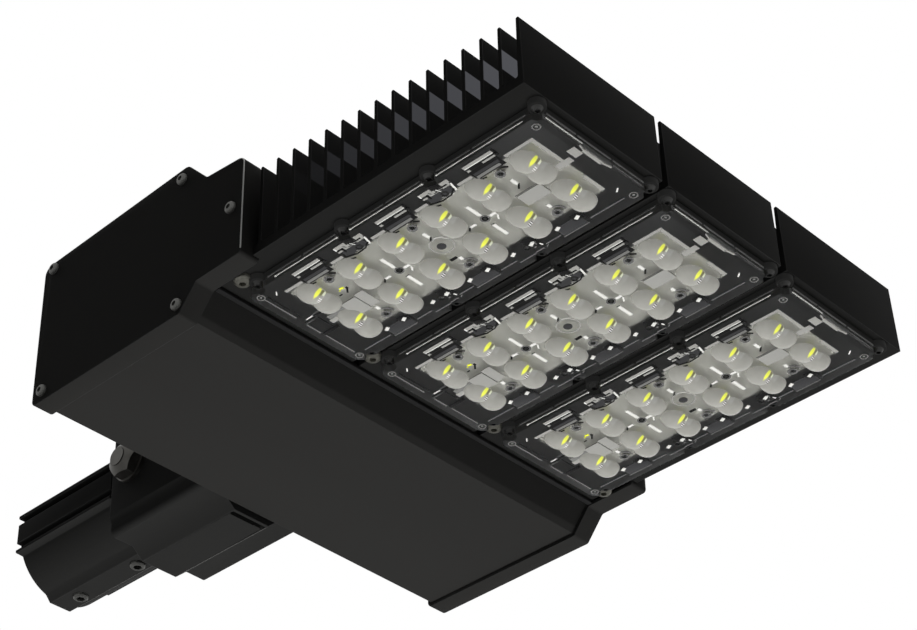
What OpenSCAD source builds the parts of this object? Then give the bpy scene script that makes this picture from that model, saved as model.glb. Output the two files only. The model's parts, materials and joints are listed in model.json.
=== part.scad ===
// Shoebox area light on a tilting slipfitter arm.
// X runs from the pole socket's mouth to the luminaire's tip, Y across it, Z up.
// The origin is the centre of the pole socket's mouth.

/* [Slipfitter arm] */
// Inside diameter of the pole socket
socket_d = 50; // [44:0.5:56]
// Wall of the socket tube
socket_wall = 4.2; // [3:0.1:6]
// Length of the whole arm
arm_l = 116; // [100:1:140]
// Distance from the pipe stop to the arm's front end
stop_back = 36; // [34:1:40]
// Distance from the side rails to the arm's front end
rail_back = 39.5; // [39.5:0.5:50]
// Height of each side rail
rail_h = 23; // [18:0.5:26]
// How far each side rail stands out of the tube
rail_rise = 2.5; // [1.5:0.1:4]
// Width of the grooves in the side rails
groove_w = 3.8; // [2:0.1:5]
// Depth of the grooves in the side rails
groove_depth = 3.5; // [1:0.1:4]
// Distance of each groove from the rail's middle
groove_z = 7.6; // [6:0.1:9]
// Width of the flat foot under the arm
foot_w = 13.4; // [11:0.2:18]
// How far the foot stands below the tube
foot_rise = 2.3; // [1.5:0.1:4]
// Diameter of the wire way past the pipe stop
wire_way_d = 40; // [30:1:44]

/* [Clamp screws] */
// Thread diameter of the clamp screws
clamp_d = 8; // [6:1:10]
// Length of each clamp screw
clamp_l = 8; // [7:0.5:9]
// Distance from the mouth to the first clamp screw
clamp_first_x = 17.6; // [12:0.2:25]
// Distance from the pipe stop back to the second clamp screw
clamp_last_back = 16.6; // [10:0.2:22]
// How far the screws stand below the foot when slack
clamp_stand = 2; // [1:0.1:2.4]
// Width across the flats of the screws' hexagon sockets
clamp_socket_w = 4; // [3:0.5:5]

/* [Tilt knuckle] */
// Distance from the tilt bolt to the arm's front end
pivot_back = 20.5; // [16:0.5:21]
// Thread diameter of the tilt bolt
pivot_d = 10; // [8:1:12]
// Distance from the tilt bolt back to the neck's open end
neck_mouth = 14.7; // [12:0.1:14.9]
// Distance from the tilt bolt to the driver box's back
neck_reach = 54.1; // [50:0.5:62]
// Half width of the neck at its side bands
neck_half_w = 34; // [33.5:0.1:38]
// Height of the neck above the tilt bolt
neck_above = 38.4; // [38.4:0.2:40]
// Depth of the neck below the tilt bolt
neck_below = 41.9; // [41:0.1:46]
// Wall of the neck
neck_wall = 3.6; // [3:0.1:3.6]
// Thickness of the toothed discs beside the arm
disc_t = 3.7; // [3:0.1:4]
// Diameter of the toothed discs
disc_d = 26; // [20:1:26]

/* [Driver box] */
// Outside width over both end caps
box_w = 273.6; // [270:0.2:280]
// Length of the box from its back to its front wall
box_l = 141.6; // [138:0.5:146]
// Depth of the box's underside below the arm's axis
box_drop = 41.5; // [40:0.5:46]
// Height of the box's back edge above the arm's axis
box_rear_h = 39.2; // [36:0.2:44]
// Height of the box's ridge above the arm's axis
box_ridge_h = 43.2; // [40:0.2:50]
// Distance from the box's front wall back to its ridge
ridge_back = 38.8; // [35.6:0.2:46.6]
// Distance from the box's front wall back to the foot of the ridge's front slope
step_back = 25.6; // [21.6:0.2:29.6]
// Height of the low front deck above the arm's axis
deck_h = 28.6; // [25:0.2:32]
// How much the front deck falls towards the front wall
deck_fall = 2.3; // [1:0.1:4]
// Distance from the box's front wall back to the bottom of its chin slope
chin_back = 39.4; // [35.6:0.2:43.6]
// Length of the chin slope along the box
chin_l = 10.6; // [8:0.2:12]
// Wall of the extruded box
box_wall = 2.2; // [1.8:0.1:3]
// Thickness of an end cap's face
cap_t = 2.5; // [2:0.1:3]
// Wall of the rim that wraps round the box's end
cap_rim = 2; // [1.5:0.1:2.5]
// Depth of an end cap over the box's end
cap_depth = 10.8; // [8:0.2:12]
// Thickness of the gasket inside an end cap
cap_gasket_t = 1.5; // [1:0.1:2]

/* [Heat sinks] */
// Depth of the heat sinks' underside below the arm's axis
sink_drop = 26.5; // [26:0.1:28]
// Thickness of a heat sink's base
base_t = 5; // [4:0.2:6]
// Length of a heat sink's base, front to back
base_l = 186.8; // [185:0.1:192]
// Number of fins
fin_count = 16; // [12:1:18]
// Distance from a heat sink's rear edge to the front of its first fin
first_fin_run = 32.7; // [31:0.1:36]
// Thickness of a fin
fin_t = 1.8; // [1.2:0.1:2.4]
// Height of the tip fin's top above the arm's axis
tip_fin_h = 10.8; // [8:0.2:20]
// Rise of the fin tops from the tip to the rear fin
fin_rise = 10.6; // [0:0.2:14]
// Gap between neighbouring heat sinks
sink_gap = 4.2; // [3:0.2:6]
// How much the box is wider than the heat sinks, on each side
side_step = 7.3; // [6:0.1:8]
// Margin of an outer heat sink past its lens plate
outer_margin = 12; // [11:0.2:16]

/* [Light modules] */
// Gap between neighbouring lens plates
plate_gap = 10.4; // [10:0.2:14]
// Distance from one light source to the next
led_pitch = 25.4; // [24:0.1:25.6]
// Height of a lens plate's rim
lens_h = 6.8; // [6:0.1:8]
// Thickness of a lens plate's window
window_t = 4.4; // [2:0.1:4.6]
// Thickness of a lens plate's flange
flange_h = 3.2; // [2:0.1:4]
// Margin from the lens plate's tip edge to the heat sink's tip
tip_margin = 3.8; // [3.6:0.1:6]
// Margin from the heat sink's rear edge to the lens plate
rear_margin = 10; // [9:0.1:11]
// Distance between the two lobes of a lens
lobe_pitch = 11.8; // [9:0.1:12.2]
// Radius of a lens lobe at the window
lobe_r = 6.2; // [5:0.1:6.5]
// Height of a lens lobe
lobe_h = 4.6; // [3:0.1:5.5]
// Margin from a lens plate's end to its circuit board
board_end_in = 13.8; // [11:0.1:15]
// Margin from a lens plate's side to its circuit board
board_side_in = 13.7; // [12.7:0.1:14.7]
// Thickness of a circuit board
board_t = 1.6; // [1:0.1:2]
// Side of a light source's package
chip_w = 5; // [3:0.1:6]
// Height of a light source's package
chip_h = 0.7; // [0.5:0.1:1]

/* [Power supply] */
// Gap from the power supply's ends to the box's ends
supply_end_gap = 37.8; // [31:0.2:58]
// Gap from the power supply's sides to the box's back wall and chin
supply_side_gap = 20.1; // [18.1:0.2:26.1]
// Height of the power supply
supply_h = 36; // [28:1:40]

/* [Hidden] */
$fn = 48;

// Named overrun of every cut past the face it starts from
cut = 1;
// Running clearance between a round pin and its hole
running = 0.05;
// Clearance between pieces that move past each other
slip = 0.3;
// Segments of a rounded corner and of a fin's root
arc_steps = 6;
root_steps = 3;

black = [0.07, 0.07, 0.068];
satin_black = [0.11, 0.11, 0.105];
dark_rubber = [0.05, 0.05, 0.05];
steel = [0.62, 0.62, 0.58];
dull_steel = [0.36, 0.36, 0.34];
clear_grey = [0.72, 0.72, 0.7];
board_white = [0.9, 0.9, 0.87];
phosphor = [0.93, 0.95, 0.3];

// Arm
socket_r = socket_d / 2;
socket_depth = arm_l - stop_back;
rail_l = arm_l - rail_back;
pivot_x = arm_l - pivot_back;
arm_r = socket_r + socket_wall;
rail_y = arm_r + rail_rise;
foot_z = arm_r + foot_rise;
foot_run = 3.1;
foot_shares = [1, 1.3];
flat_run = 1.5;
flat_y = neck_half_w - neck_wall - disc_t - slip;
flat_from = pivot_x - disc_d / 2 - flat_run;
clamp_chamfer = 0.7;
clamp_xs = [clamp_first_x, socket_depth - clamp_last_back];

// Play between an end cap and the housing that it wraps
cap_fit = 0.15;

// Neck
band_rise = 1.8;
neck_x = pivot_x - neck_mouth;
box_x = pivot_x + neck_reach;
neck_gasket_t = 1.2;
neck_end = box_x + cap_rim + cap_fit - neck_gasket_t;
neck_plate_t = 6;
neck_corner_r = 3.3;
neck_low_y = neck_half_w - band_rise;
band_half_h = 25.5;
band_slope = 3.3;
shoulder_z = 36;
keel_w = 22.4;
keel_run = 6.7;
drain_l = 22;
drain_w = 3;
cable_r = 10;
neck_screw_d = 6;
neck_screw_head_r = 5;
neck_screw_head_h = 5;
neck_screw_y = 20;
neck_screw_z = 24;
neck_screw_l = 9;
neck_gasket_half_w = 27;
neck_gasket_half_h = 31;

// Tilt bolt
washer_t = 2;
washer_r = 10.5;
nut_w = 17;
nut_h = 7.5;
nut_cone_h = 3;
bolt_head_h = 6.4;
bolt_proud = 0.5;

// Driver box
box_rear_r = 5;
box_ridge_r = 4.5;
box_edge_r = 3;
deck_edge_r = 4;
chin_r = 2;
chin_gap = 1.1;
chin_z = -sink_drop - cap_rim - cap_fit;
box_front_x = box_x + box_l;
chin_x = box_front_x - chin_back;
ridge_x = box_front_x - ridge_back;
cap_outline = [
    [box_x, -box_drop, box_edge_r],
    [chin_x, -box_drop, chin_r],
    [chin_x + chin_l, chin_z, chin_r],
    [box_front_x, chin_z, chin_r],
    [box_front_x, deck_h - deck_fall, deck_edge_r],
    [box_front_x - step_back, deck_h, chin_r],
    [ridge_x, box_ridge_h, box_ridge_r],
    [box_x, box_rear_h, box_rear_r]
];
shell_outline = inset(cap_outline, cap_rim + cap_fit);
shell_front_x = box_front_x - cap_rim - cap_fit;
shell_floor_z = -box_drop + cap_rim + cap_fit;
sink_rear_x = chin_x + chin_l + chin_gap;
ledge_x = sink_rear_x - slip;
ledge_z = -sink_drop + base_t;
chin_rise = (chin_z + box_drop) / chin_l;
box_outline = concat(
    [shell_outline[0], shell_outline[1]],
    [[ledge_x, shell_outline[1][1] + (ledge_x - shell_outline[1][0]) * chin_rise, 0]],
    [[ledge_x, ledge_z, 0], [shell_front_x, ledge_z, chin_r]],
    [for (i = [4 : 7]) shell_outline[i]]
);
room_outline = inset(box_outline, box_wall);
box_half_w = box_w / 2;
cap_inner_y = box_half_w - cap_t;
housing_end_y = cap_inner_y - cap_gasket_t;
cap_edge_y = box_half_w - cap_depth;
room_floor_z = shell_floor_z + box_wall;
port_r = 3.5;
port_hole_depth = 14;
port_in = 7.3;
port_low = 5.7;
port_high = 4.2;
ridge_port_back = 3.3;
ridge_port_low = 6.7;
chin_port_back = 1.2;
cap_screw_d = 3;
cap_screw_l = 14;
cap_head_r = 3;
cap_head_h = 2;
cap_ports = [
    [box_x + port_in, box_rear_h - port_high],
    [ridge_x - ridge_port_back, box_ridge_h - ridge_port_low],
    [box_front_x - port_in, 0],
    [chin_x - chin_port_back, -box_drop + port_low],
    [box_x + port_in, -box_drop + port_low]
];

// Heat sinks: each has its module's number from -1 to 1
module_count = 3;
module_pitch = (2 * (box_half_w - side_step - outer_margin) + plate_gap) / module_count;
lens_w = module_pitch - plate_gap;
lens_l = base_l - rear_margin - tip_margin;
sink_tip_x = sink_rear_x + base_l;
tip_lean = 1.3;
module_x = sink_tip_x - tip_margin - lens_l / 2;
first_fin_x = sink_rear_x + first_fin_run;
fin_pitch = (base_l - tip_lean - first_fin_run) / (fin_count - 1);
fin_slope = fin_rise / ((fin_count - 1) * fin_pitch);
root_r = 1;
margin_y = cap_edge_y - slip;
sink_screw_d = 5;
sink_screw_in = 12.7;
sink_screw_x = sink_rear_x + sink_screw_in;
sink_head_r = 4.2;
sink_head_h = 3.8;
sink_nut_r = 4.5;
sink_nut_h = 4.5;
sink_outer_y = cap_edge_y - sink_head_r - slip;
sink_screw_y = [-sink_outer_y, -module_pitch / 2, module_pitch / 2, sink_outer_y];

// Light modules
under_z = -sink_drop;
lens_z = under_z - lens_h;
window_z = lens_z + window_t;
plate_r = 5;
lobe_ball_r = (lobe_r * lobe_r + lobe_h * lobe_h) / (2 * lobe_h);
lobe_cap_in = 0.6;
cavity_r = 2.6;
groove_in = 5.8;
gasket_w = 2.5;
gasket_h = 2;
gasket_r = 8;
board_gap = 0.6;
board_l = lens_l - 2 * board_end_in;
board_w = lens_w - 2 * board_side_in;
led_cols = 2 * floor(((board_l - chip_w) / led_pitch + 1) / 2);
led_rows = floor((board_w - chip_w) / led_pitch) + 1;
rim_screw_d = 3;
rim_head_r = 2.6;
rim_head_h = 1.6;
rim_step = 0.5;
ear_in = 0.5;
ear_back = 7.7;
ear_r = 3.9;
ear_notch_r = 2.9;
ring_in = 5;
ring_r = 2.2;
ring_hole_r = 1.3;
ring_h = 0.4;
recess_depth = 1.2;
inner_screw_out = 3.5;
board_screw_in = 4;
board_head_r = 2.4;
board_head_h = 1;
pilot_depth = 4.2;
rib_l = 17;
rib_w = 1.8;
rib_h = 1.4;
rib_hole_r = 1.2;
boss_r = 4.5;
boss_h = 2;
boss_hole_r = 1.8;
pad_l = 12.4;
pad_w = 6.3;
pad_h = 1.2;
phosphor_r = 1.9;
phosphor_h = 0.3;

// Power supply and what sits beside it
rail_bar_w = 12;
rail_bar_h = 5;
tray_t = 1.5;
tray_lip = 8;
tray_margin = 10;
tray_side = 4;
tray_z = room_floor_z + rail_bar_h;
supply_z = tray_z + tray_t;
ear_screw_l = 7.5;
supply_l = 2 * (housing_end_y - supply_end_gap);
supply_w = chin_x - box_x - 2 * supply_side_gap;
supply_x = (box_x + chin_x) / 2 + port_r;
supply_edge_r = 3;
supply_rib_pitch = 9.5;
supply_rib_d = 1;
ear_l = 9;
ear_t = 2;
ear_screw_d = 4;
ear_head_r = 3.6;
ear_head_h = 2;
surge_gap = 15.3;
surge_l = sink_outer_y - module_pitch / 2 - 2 * surge_gap;
surge_w = 18;
surge_h = 15;
surge_y = (module_pitch / 2 + sink_outer_y) / 2;
surge_ear = 8;
block_gap = 15.9;
block_l = module_pitch - 2 * block_gap;
block_w = 17;
block_h = 14;
block_ways = 5;
block_wire_r = 2;
block_screw_r = 1.6;
shelf_z = ledge_z + box_wall;
shelf_x = (sink_rear_x + shell_front_x) / 2;
shelf_screw_d = 3;
shelf_head_r = 2.6;
shelf_head_h = 1.6;
supply_ear_y = (supply_l + ear_l) / 2;
shelf_screw_ys = [
    surge_y - (surge_l + surge_ear) / 2, surge_y + (surge_l + surge_ear) / 2,
    -(block_l + surge_ear) / 2, (block_l + surge_ear) / 2
];

// Outline helpers: a corner is [x, y, radius]
function xy(p) = [p[0], p[1]];
function unit(v) = v / norm(v);
function turned(v, a) = [v[0] * cos(a) - v[1] * sin(a), v[0] * sin(a) + v[1] * cos(a)];
function left_of(a, b) = turned(unit(b - a), 90);
function corner_arc(a, b, c, r) = r <= 0 ? [b] :
    let (
        u = unit(a - b),
        v = unit(c - b),
        half = acos(u * v) / 2,
        centre = b + unit(u + v) * r / sin(half),
        start = b + u * r / tan(half) - centre,
        end = b + v * r / tan(half) - centre,
        swing = sign(cross(start, end)) * (180 - 2 * half)
    )
    [for (i = [0 : arc_steps]) centre + turned(start, swing * i / arc_steps)];
function rounded(c) = [
    for (i = [0 : len(c) - 1])
        each corner_arc(xy(c[(i + len(c) - 1) % len(c)]), xy(c[i]), xy(c[(i + 1) % len(c)]), c[i][2])
];
function inset_corner(a, b, c, r, d) =
    let (
        p = left_of(a, b),
        q = left_of(b, c),
        at = b + (p + q) * d / (1 + p * q)
    )
    [at[0], at[1], r == 0 ? 0 : cross(b - a, c - b) > 0 ? max(r - d, 0) : r + d];
function inset(c, d) = [
    for (i = [0 : len(c) - 1])
        inset_corner(xy(c[(i + len(c) - 1) % len(c)]), xy(c[i]), xy(c[(i + 1) % len(c)]), c[i][2], d)
];
function reversed(c) = [for (i = [len(c) - 1 : -1 : 0]) c[i]];

// A Y-Z outline drawn out along X
module along_x(from, to) {
    translate([from, 0, 0]) rotate([90, 0, 90]) linear_extrude(to - from) children();
}

// An X-Z outline drawn out along Y
module along_y(from, to) {
    translate([0, to, 0]) rotate([90, 0, 0]) linear_extrude(to - from) children();
}

// A round bar or hole along X, Y or Z between two places
module rod_x(r, from, to) {
    translate([from, 0, 0]) rotate([0, 90, 0]) cylinder(r = r, h = to - from);
}
module rod_y(r, from, to) {
    translate([0, to, 0]) rotate([90, 0, 0]) cylinder(r = r, h = to - from);
}
module rod_z(r, from, to) {
    translate([0, 0, from]) cylinder(r = r, h = to - from);
}
module rod_z_at(p, r, from, to) {
    translate([p[0], p[1], 0]) rod_z(r, from, to);
}

// A box from its low corner to its high corner
module block(low, high) {
    translate(low) cube(high - low);
}

// A rectangle about the origin with rounded corners
module round_rect(l, w, r) {
    polygon(rounded([
        [-l / 2, -w / 2, r], [l / 2, -w / 2, r], [l / 2, w / 2, r], [-l / 2, w / 2, r]
    ]));
}

module both_sides() {
    children();
    mirror([0, 1, 0]) children();
}

// A screw that hangs head down: its head starts at z = 0 and its shank goes up
module hanging_screw(d, l, head_r, head_h, top_share = 0.6, socket_share = 0.45) {
    difference() {
        union() {
            rod_z(d / 2, -head_h / 2, l);
            translate([0, 0, -head_h]) cylinder(r1 = head_r * top_share, r2 = head_r, h = head_h);
        }
        translate([0, 0, -head_h - cut])
            cylinder(r = head_r * socket_share, h = cut + head_h / 2, $fn = 6);
    }
}

// Slipfitter arm: an extruded tube with grooved rails and a foot for the clamp screws
module arm_rail() {
    groove_half = groove_w / 2;
    lip_z = rail_h / 2;
    floor_y = rail_y - groove_depth;
    polygon([
        [0, -lip_z], [rail_y, -lip_z],
        [rail_y, -groove_z - groove_half], [floor_y, -groove_z - groove_half],
        [floor_y, -groove_z + groove_half], [rail_y, -groove_z + groove_half],
        [rail_y, groove_z - groove_half], [floor_y, groove_z - groove_half],
        [floor_y, groove_z + groove_half], [rail_y, groove_z + groove_half],
        [rail_y, lip_z], [0, lip_z]
    ]);
}

module arm_foot() {
    half = foot_w / 2;
    polygon([
        [-half - foot_run, 0], [-half - foot_run, -foot_z + foot_run * foot_shares[1]],
        [-half, -foot_z], [half, -foot_z],
        [half + foot_run, -foot_z + foot_run * foot_shares[1]], [half + foot_run, 0]
    ]);
}

module slipfitter_arm() {
    color(black) difference() {
        union() {
            rod_x(arm_r, 0, arm_l);
            both_sides() along_x(0, rail_l) arm_rail();
            along_x(0, arm_l) arm_foot();
        }
        rod_x(socket_r, -cut, socket_depth);
        rod_x(wire_way_d / 2, socket_depth - cut, arm_l + cut);
        both_sides() block(
            [flat_from, flat_y, -arm_r], [arm_l + cut, rail_y + cut, arm_r]
        );
        translate([pivot_x, 0, 0]) rod_y(pivot_d / 2 + running, -rail_y - cut, rail_y + cut);
        for (x = clamp_xs) translate([x, 0, 0]) rod_z(clamp_d / 2 + running, -foot_z - cut, 0);
    }
}

// Clamp screws, slack, ready to press a pipe against the socket's roof
module clamp_screw(x) {
    foot_end = -foot_z - clamp_stand;
    color(dull_steel) translate([x, 0, foot_end]) difference() {
        union() {
            translate([0, 0, clamp_chamfer]) cylinder(r = clamp_d / 2, h = clamp_l - 2 * clamp_chamfer);
            cylinder(r1 = clamp_d / 2 - clamp_chamfer, r2 = clamp_d / 2, h = clamp_chamfer);
            translate([0, 0, clamp_l - clamp_chamfer])
                cylinder(r1 = clamp_d / 2, r2 = clamp_d / 2 - clamp_chamfer, h = clamp_chamfer);
        }
        translate([0, 0, -cut])
            cylinder(r = clamp_socket_w / 2 / cos(30), h = cut + clamp_l / 2, $fn = 6);
    }
}
module clamp_screw_rear() { clamp_screw(clamp_xs[0]); }
module clamp_screw_front() { clamp_screw(clamp_xs[1]); }

// Neck bracket: a hollow housing that the arm tilts in
neck_side = [
    [keel_w / 2, -neck_below, 0],
    [keel_w / 2 + keel_run, -shoulder_z, 0],
    [neck_low_y, -shoulder_z, neck_corner_r],
    [neck_low_y, -band_half_h - band_slope, 0],
    [neck_half_w, -band_half_h, 0],
    [neck_half_w, band_half_h, 0],
    [neck_low_y, band_half_h + band_slope, 0],
    [neck_low_y, neck_above, neck_corner_r]
];
neck_outline = concat(neck_side, [for (c = reversed(neck_side)) [-c[0], c[1], c[2]]]);

module neck_bracket() {
    color(black) difference() {
        along_x(neck_x, neck_end) polygon(rounded(neck_outline));
        along_x(neck_x - cut, neck_end - neck_plate_t) polygon(rounded(inset(neck_outline, neck_wall)));
        rod_x(cable_r + box_wall, neck_end - neck_plate_t - cut, neck_end + cut);
        translate([pivot_x, 0, 0])
            rod_y(pivot_d / 2 + running, -neck_half_w - cut, neck_half_w + cut);
        for (y = [-neck_screw_y, neck_screw_y], z = [-neck_screw_z, neck_screw_z])
            translate([0, y, z]) rod_x(neck_screw_d / 2 + running, neck_end - neck_plate_t - cut, neck_end + cut);
        translate([neck_end - drain_w, 0, -neck_below - cut]) linear_extrude(neck_wall + cut)
            rotate([0, 0, 90]) hull_slot(drain_l, drain_w);
    }
}

// A slot with round ends, along its own X
module hull_slot(l, w) {
    square([l - w, w], center = true);
    for (x = [-(l - w) / 2, (l - w) / 2]) translate([x, 0]) circle(d = w);
}

// Toothed discs between the neck's walls and the arm's flats
module tilt_discs() {
    color(dull_steel) both_sides() translate([pivot_x, 0, 0]) difference() {
        rod_y(disc_d / 2, flat_y + slip, neck_half_w - neck_wall);
        rod_y(pivot_d / 2 + running, 0, neck_half_w);
    }
}

module tilt_bolt() {
    shank_end = -neck_half_w - washer_t - nut_h - bolt_proud;
    head_y = neck_half_w + washer_t;
    color(dull_steel) translate([pivot_x, 0, 0]) {
        rod_y(pivot_d / 2, shank_end, head_y);
        translate([0, head_y + bolt_head_h, 0]) rotate([90, 0, 0])
            cylinder(r = nut_w / 2 / cos(30), h = bolt_head_h, $fn = 6);
    }
}

module tilt_washers() {
    color(dull_steel) both_sides() translate([pivot_x, 0, 0]) difference() {
        rod_y(washer_r, neck_half_w, neck_half_w + washer_t);
        rod_y(pivot_d / 2 + running, 0, neck_half_w + washer_t + cut);
    }
}

module tilt_nut() {
    inner_y = neck_half_w + washer_t;
    color(dull_steel) mirror([0, 1, 0]) translate([pivot_x, 0, 0]) difference() {
        intersection() {
            translate([0, inner_y + nut_h, 0]) rotate([90, 0, 0])
                cylinder(r = nut_w / 2 / cos(30), h = nut_h, $fn = 6);
            union() {
                rod_y(nut_w, inner_y, inner_y + nut_h - nut_cone_h);
                translate([0, inner_y + nut_h, 0]) rotate([90, 0, 0])
                    cylinder(r1 = pivot_d / 2 + bolt_proud, r2 = nut_w / 2 / cos(30), h = nut_cone_h);
            }
        }
        rod_y(pivot_d / 2 + running, 0, inner_y + nut_h + cut);
    }
}

// What joins the neck to the box's back wall
module neck_gasket() {
    color(dark_rubber) difference() {
        along_x(neck_end, neck_end + neck_gasket_t)
            round_rect(2 * neck_gasket_half_w, 2 * neck_gasket_half_h, neck_corner_r);
        rod_x(cable_r + box_wall + running, neck_end - cut, neck_end + neck_gasket_t + cut);
        for (y = [-neck_screw_y, neck_screw_y], z = [-neck_screw_z, neck_screw_z])
            translate([0, y, z]) rod_x(neck_screw_d / 2 + running, neck_end - cut, neck_end + neck_gasket_t + cut);
    }
}

module neck_screws() {
    head_x = neck_end + neck_gasket_t + box_wall;
    color(steel) for (y = [-neck_screw_y, neck_screw_y], z = [-neck_screw_z, neck_screw_z])
        translate([0, y, z]) difference() {
            union() {
                rod_x(neck_screw_d / 2, head_x - neck_screw_l, head_x);
                rod_x(neck_screw_head_r, head_x, head_x + neck_screw_head_h);
            }
            translate([head_x + neck_screw_head_h / 2, 0, 0]) rotate([0, 90, 0])
                cylinder(r = neck_screw_d / 2, h = neck_screw_head_h, $fn = 6);
        }
}

module cable_grommet() {
    wall_x = neck_end + neck_gasket_t;
    lip = box_wall / 2;
    color(dark_rubber) difference() {
        union() {
            rod_x(cable_r + box_wall, neck_end - neck_plate_t, wall_x + box_wall + lip);
            rod_x(cable_r + 2 * box_wall, wall_x + box_wall, wall_x + box_wall + 2 * lip);
        }
        rod_x(cable_r, neck_end - neck_plate_t - cut, wall_x + 2 * box_wall + cut);
    }
}

// Driver housing: one extrusion with a screw port in each corner
module driver_housing() {
    wall_x = neck_end + neck_gasket_t;
    color(satin_black) difference() {
        union() {
            difference() {
                along_y(-housing_end_y, housing_end_y) polygon(rounded(box_outline));
                along_y(-housing_end_y - cut, housing_end_y + cut) polygon(rounded(room_outline));
            }
            intersection() {
                along_y(-housing_end_y, housing_end_y) polygon(rounded(box_outline));
                for (p = cap_ports) translate([p[0], 0, p[1]]) rod_y(port_r, -housing_end_y, housing_end_y);
            }
            block(
                [supply_x - rail_bar_w / 2, -housing_end_y, room_floor_z - box_wall / 2],
                [supply_x + rail_bar_w / 2, housing_end_y, tray_z]
            );
        }
        for (y = [-supply_ear_y, supply_ear_y])
            rod_z_at([supply_x, y], ear_screw_d / 2 + running, room_floor_z, tray_z + cut);
        for (y = shelf_screw_ys)
            rod_z_at([shelf_x, y], shelf_screw_d / 2 + running, shelf_z - box_wall / 2, shelf_z + cut);
        for (p = cap_ports, side = [-1, 1]) translate([p[0], side * housing_end_y, p[1]])
            rod_y(cap_screw_d / 2 + running, -port_hole_depth, port_hole_depth);
        rod_x(cable_r + box_wall, wall_x - cut, wall_x + box_wall + cut);
        for (y = [-neck_screw_y, neck_screw_y], z = [-neck_screw_z, neck_screw_z])
            translate([0, y, z]) rod_x(neck_screw_d / 2 + running, wall_x - cut, wall_x + box_wall + cut);
        for (y = sink_screw_y) translate([sink_screw_x, y, 0])
            rod_z(sink_screw_d / 2 + running, ledge_z - cut, ledge_z + box_wall + cut);
    }
}

// End caps: pans that wrap the housing's ends
module end_cap() {
    color(black) difference() {
        along_y(cap_edge_y, box_half_w) polygon(rounded(cap_outline));
        along_y(cap_edge_y - cut, cap_inner_y) polygon(rounded(inset(cap_outline, cap_rim)));
        for (p = cap_ports) translate([p[0], 0, p[1]])
            rod_y(cap_screw_d / 2 + running, cap_inner_y - cut, box_half_w + cut);
    }
}
module end_cap_left() { mirror([0, 1, 0]) end_cap(); }
module end_cap_right() { end_cap(); }

module cap_gasket() {
    color(dark_rubber) difference() {
        along_y(housing_end_y, cap_inner_y) polygon(rounded(box_outline));
        along_y(housing_end_y - cut, cap_inner_y + cut) polygon(rounded(inset(box_outline, 2 * box_wall)));
        for (p = cap_ports) translate([p[0], 0, p[1]])
            rod_y(cap_screw_d / 2 + running, housing_end_y - cut, cap_inner_y + cut);
    }
}
module cap_gasket_left() { mirror([0, 1, 0]) cap_gasket(); }
module cap_gasket_right() { cap_gasket(); }

module cap_screws() {
    color(dull_steel) for (p = cap_ports)
        translate([p[0], box_half_w, p[1]]) rotate([90, 0, 0])
            hanging_screw(cap_screw_d, cap_screw_l, cap_head_r, cap_head_h);
}
module cap_screws_left() { mirror([0, 1, 0]) cap_screws(); }
module cap_screws_right() { cap_screws(); }

// Heat sinks: comb extrusions that run across the light
function fin_x(i) = first_fin_x + i * fin_pitch;
function fin_top(i) = tip_fin_h + (fin_count - 1 - i) * fin_pitch * fin_slope;
function arc_at(x, z, r, a, b, steps) = [
    for (i = [0 : steps]) [x + r * cos(a + (b - a) * i / steps), z + r * sin(a + (b - a) * i / steps)]
];
function fin_points(i) =
    let (
        front = fin_x(i),
        rear = front - fin_t,
        half = fin_t / 2,
        crown = arc_at(front - half, fin_top(i) - half, half, 0, 180, arc_steps),
        rear_root = arc_at(rear - root_r, ledge_z + root_r, root_r, 0, -90, root_steps),
        front_root = arc_at(front + root_r, ledge_z + root_r, root_r, 270, 180, root_steps)
    )
    concat(i == fin_count - 1 ? [] : front_root, crown, rear_root);
sink_outline = concat(
    [[sink_rear_x, ledge_z], [sink_rear_x, under_z], [sink_tip_x, under_z]],
    [for (i = [fin_count - 1 : -1 : 0]) each fin_points(i)]
);

module heat_sink(m) {
    inner = module_pitch / 2 - sink_gap / 2;
    outer = module_pitch + lens_w / 2 + outer_margin;
    low = m == 0 ? -inner : inner + sink_gap;
    high = m == 0 ? inner : outer;
    color(black) mirror([0, m < 0 ? 1 : 0, 0]) difference() {
        along_y(low, high) polygon(sink_outline);
        block([sink_rear_x - cut, margin_y, under_z - cut], [box_front_x + slip, high + cut, deck_h]);
        for (y = sink_screw_y) translate([sink_screw_x, y, 0])
            rod_z(sink_screw_d / 2 + running, under_z - cut, ledge_z + cut);
        translate([module_x, abs(m) * module_pitch, 0]) {
            for (p = concat(ear_screws, inner_screws, board_screws)) translate(p)
                rod_z(rim_screw_d / 2 + running, under_z - cut, under_z + pilot_depth);
        }
    }
}
module heat_sink_left() { heat_sink(-1); }
module heat_sink_middle() { heat_sink(0); }
module heat_sink_right() { heat_sink(1); }

// Screws that hang the heat sinks under the housing's ledge, and their nuts inside
module sink_screws() {
    color(steel) for (y = sink_screw_y) translate([sink_screw_x, y, under_z])
        hanging_screw(sink_screw_d, base_t + box_wall + sink_nut_h, sink_head_r, sink_head_h);
}

module sink_nuts() {
    color(steel) for (y = sink_screw_y) translate([sink_screw_x, y, shelf_z]) difference() {
        cylinder(r = sink_nut_r, h = sink_nut_h, $fn = 6);
        rod_z(sink_screw_d / 2 + running, -cut, sink_nut_h + cut);
    }
}

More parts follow.
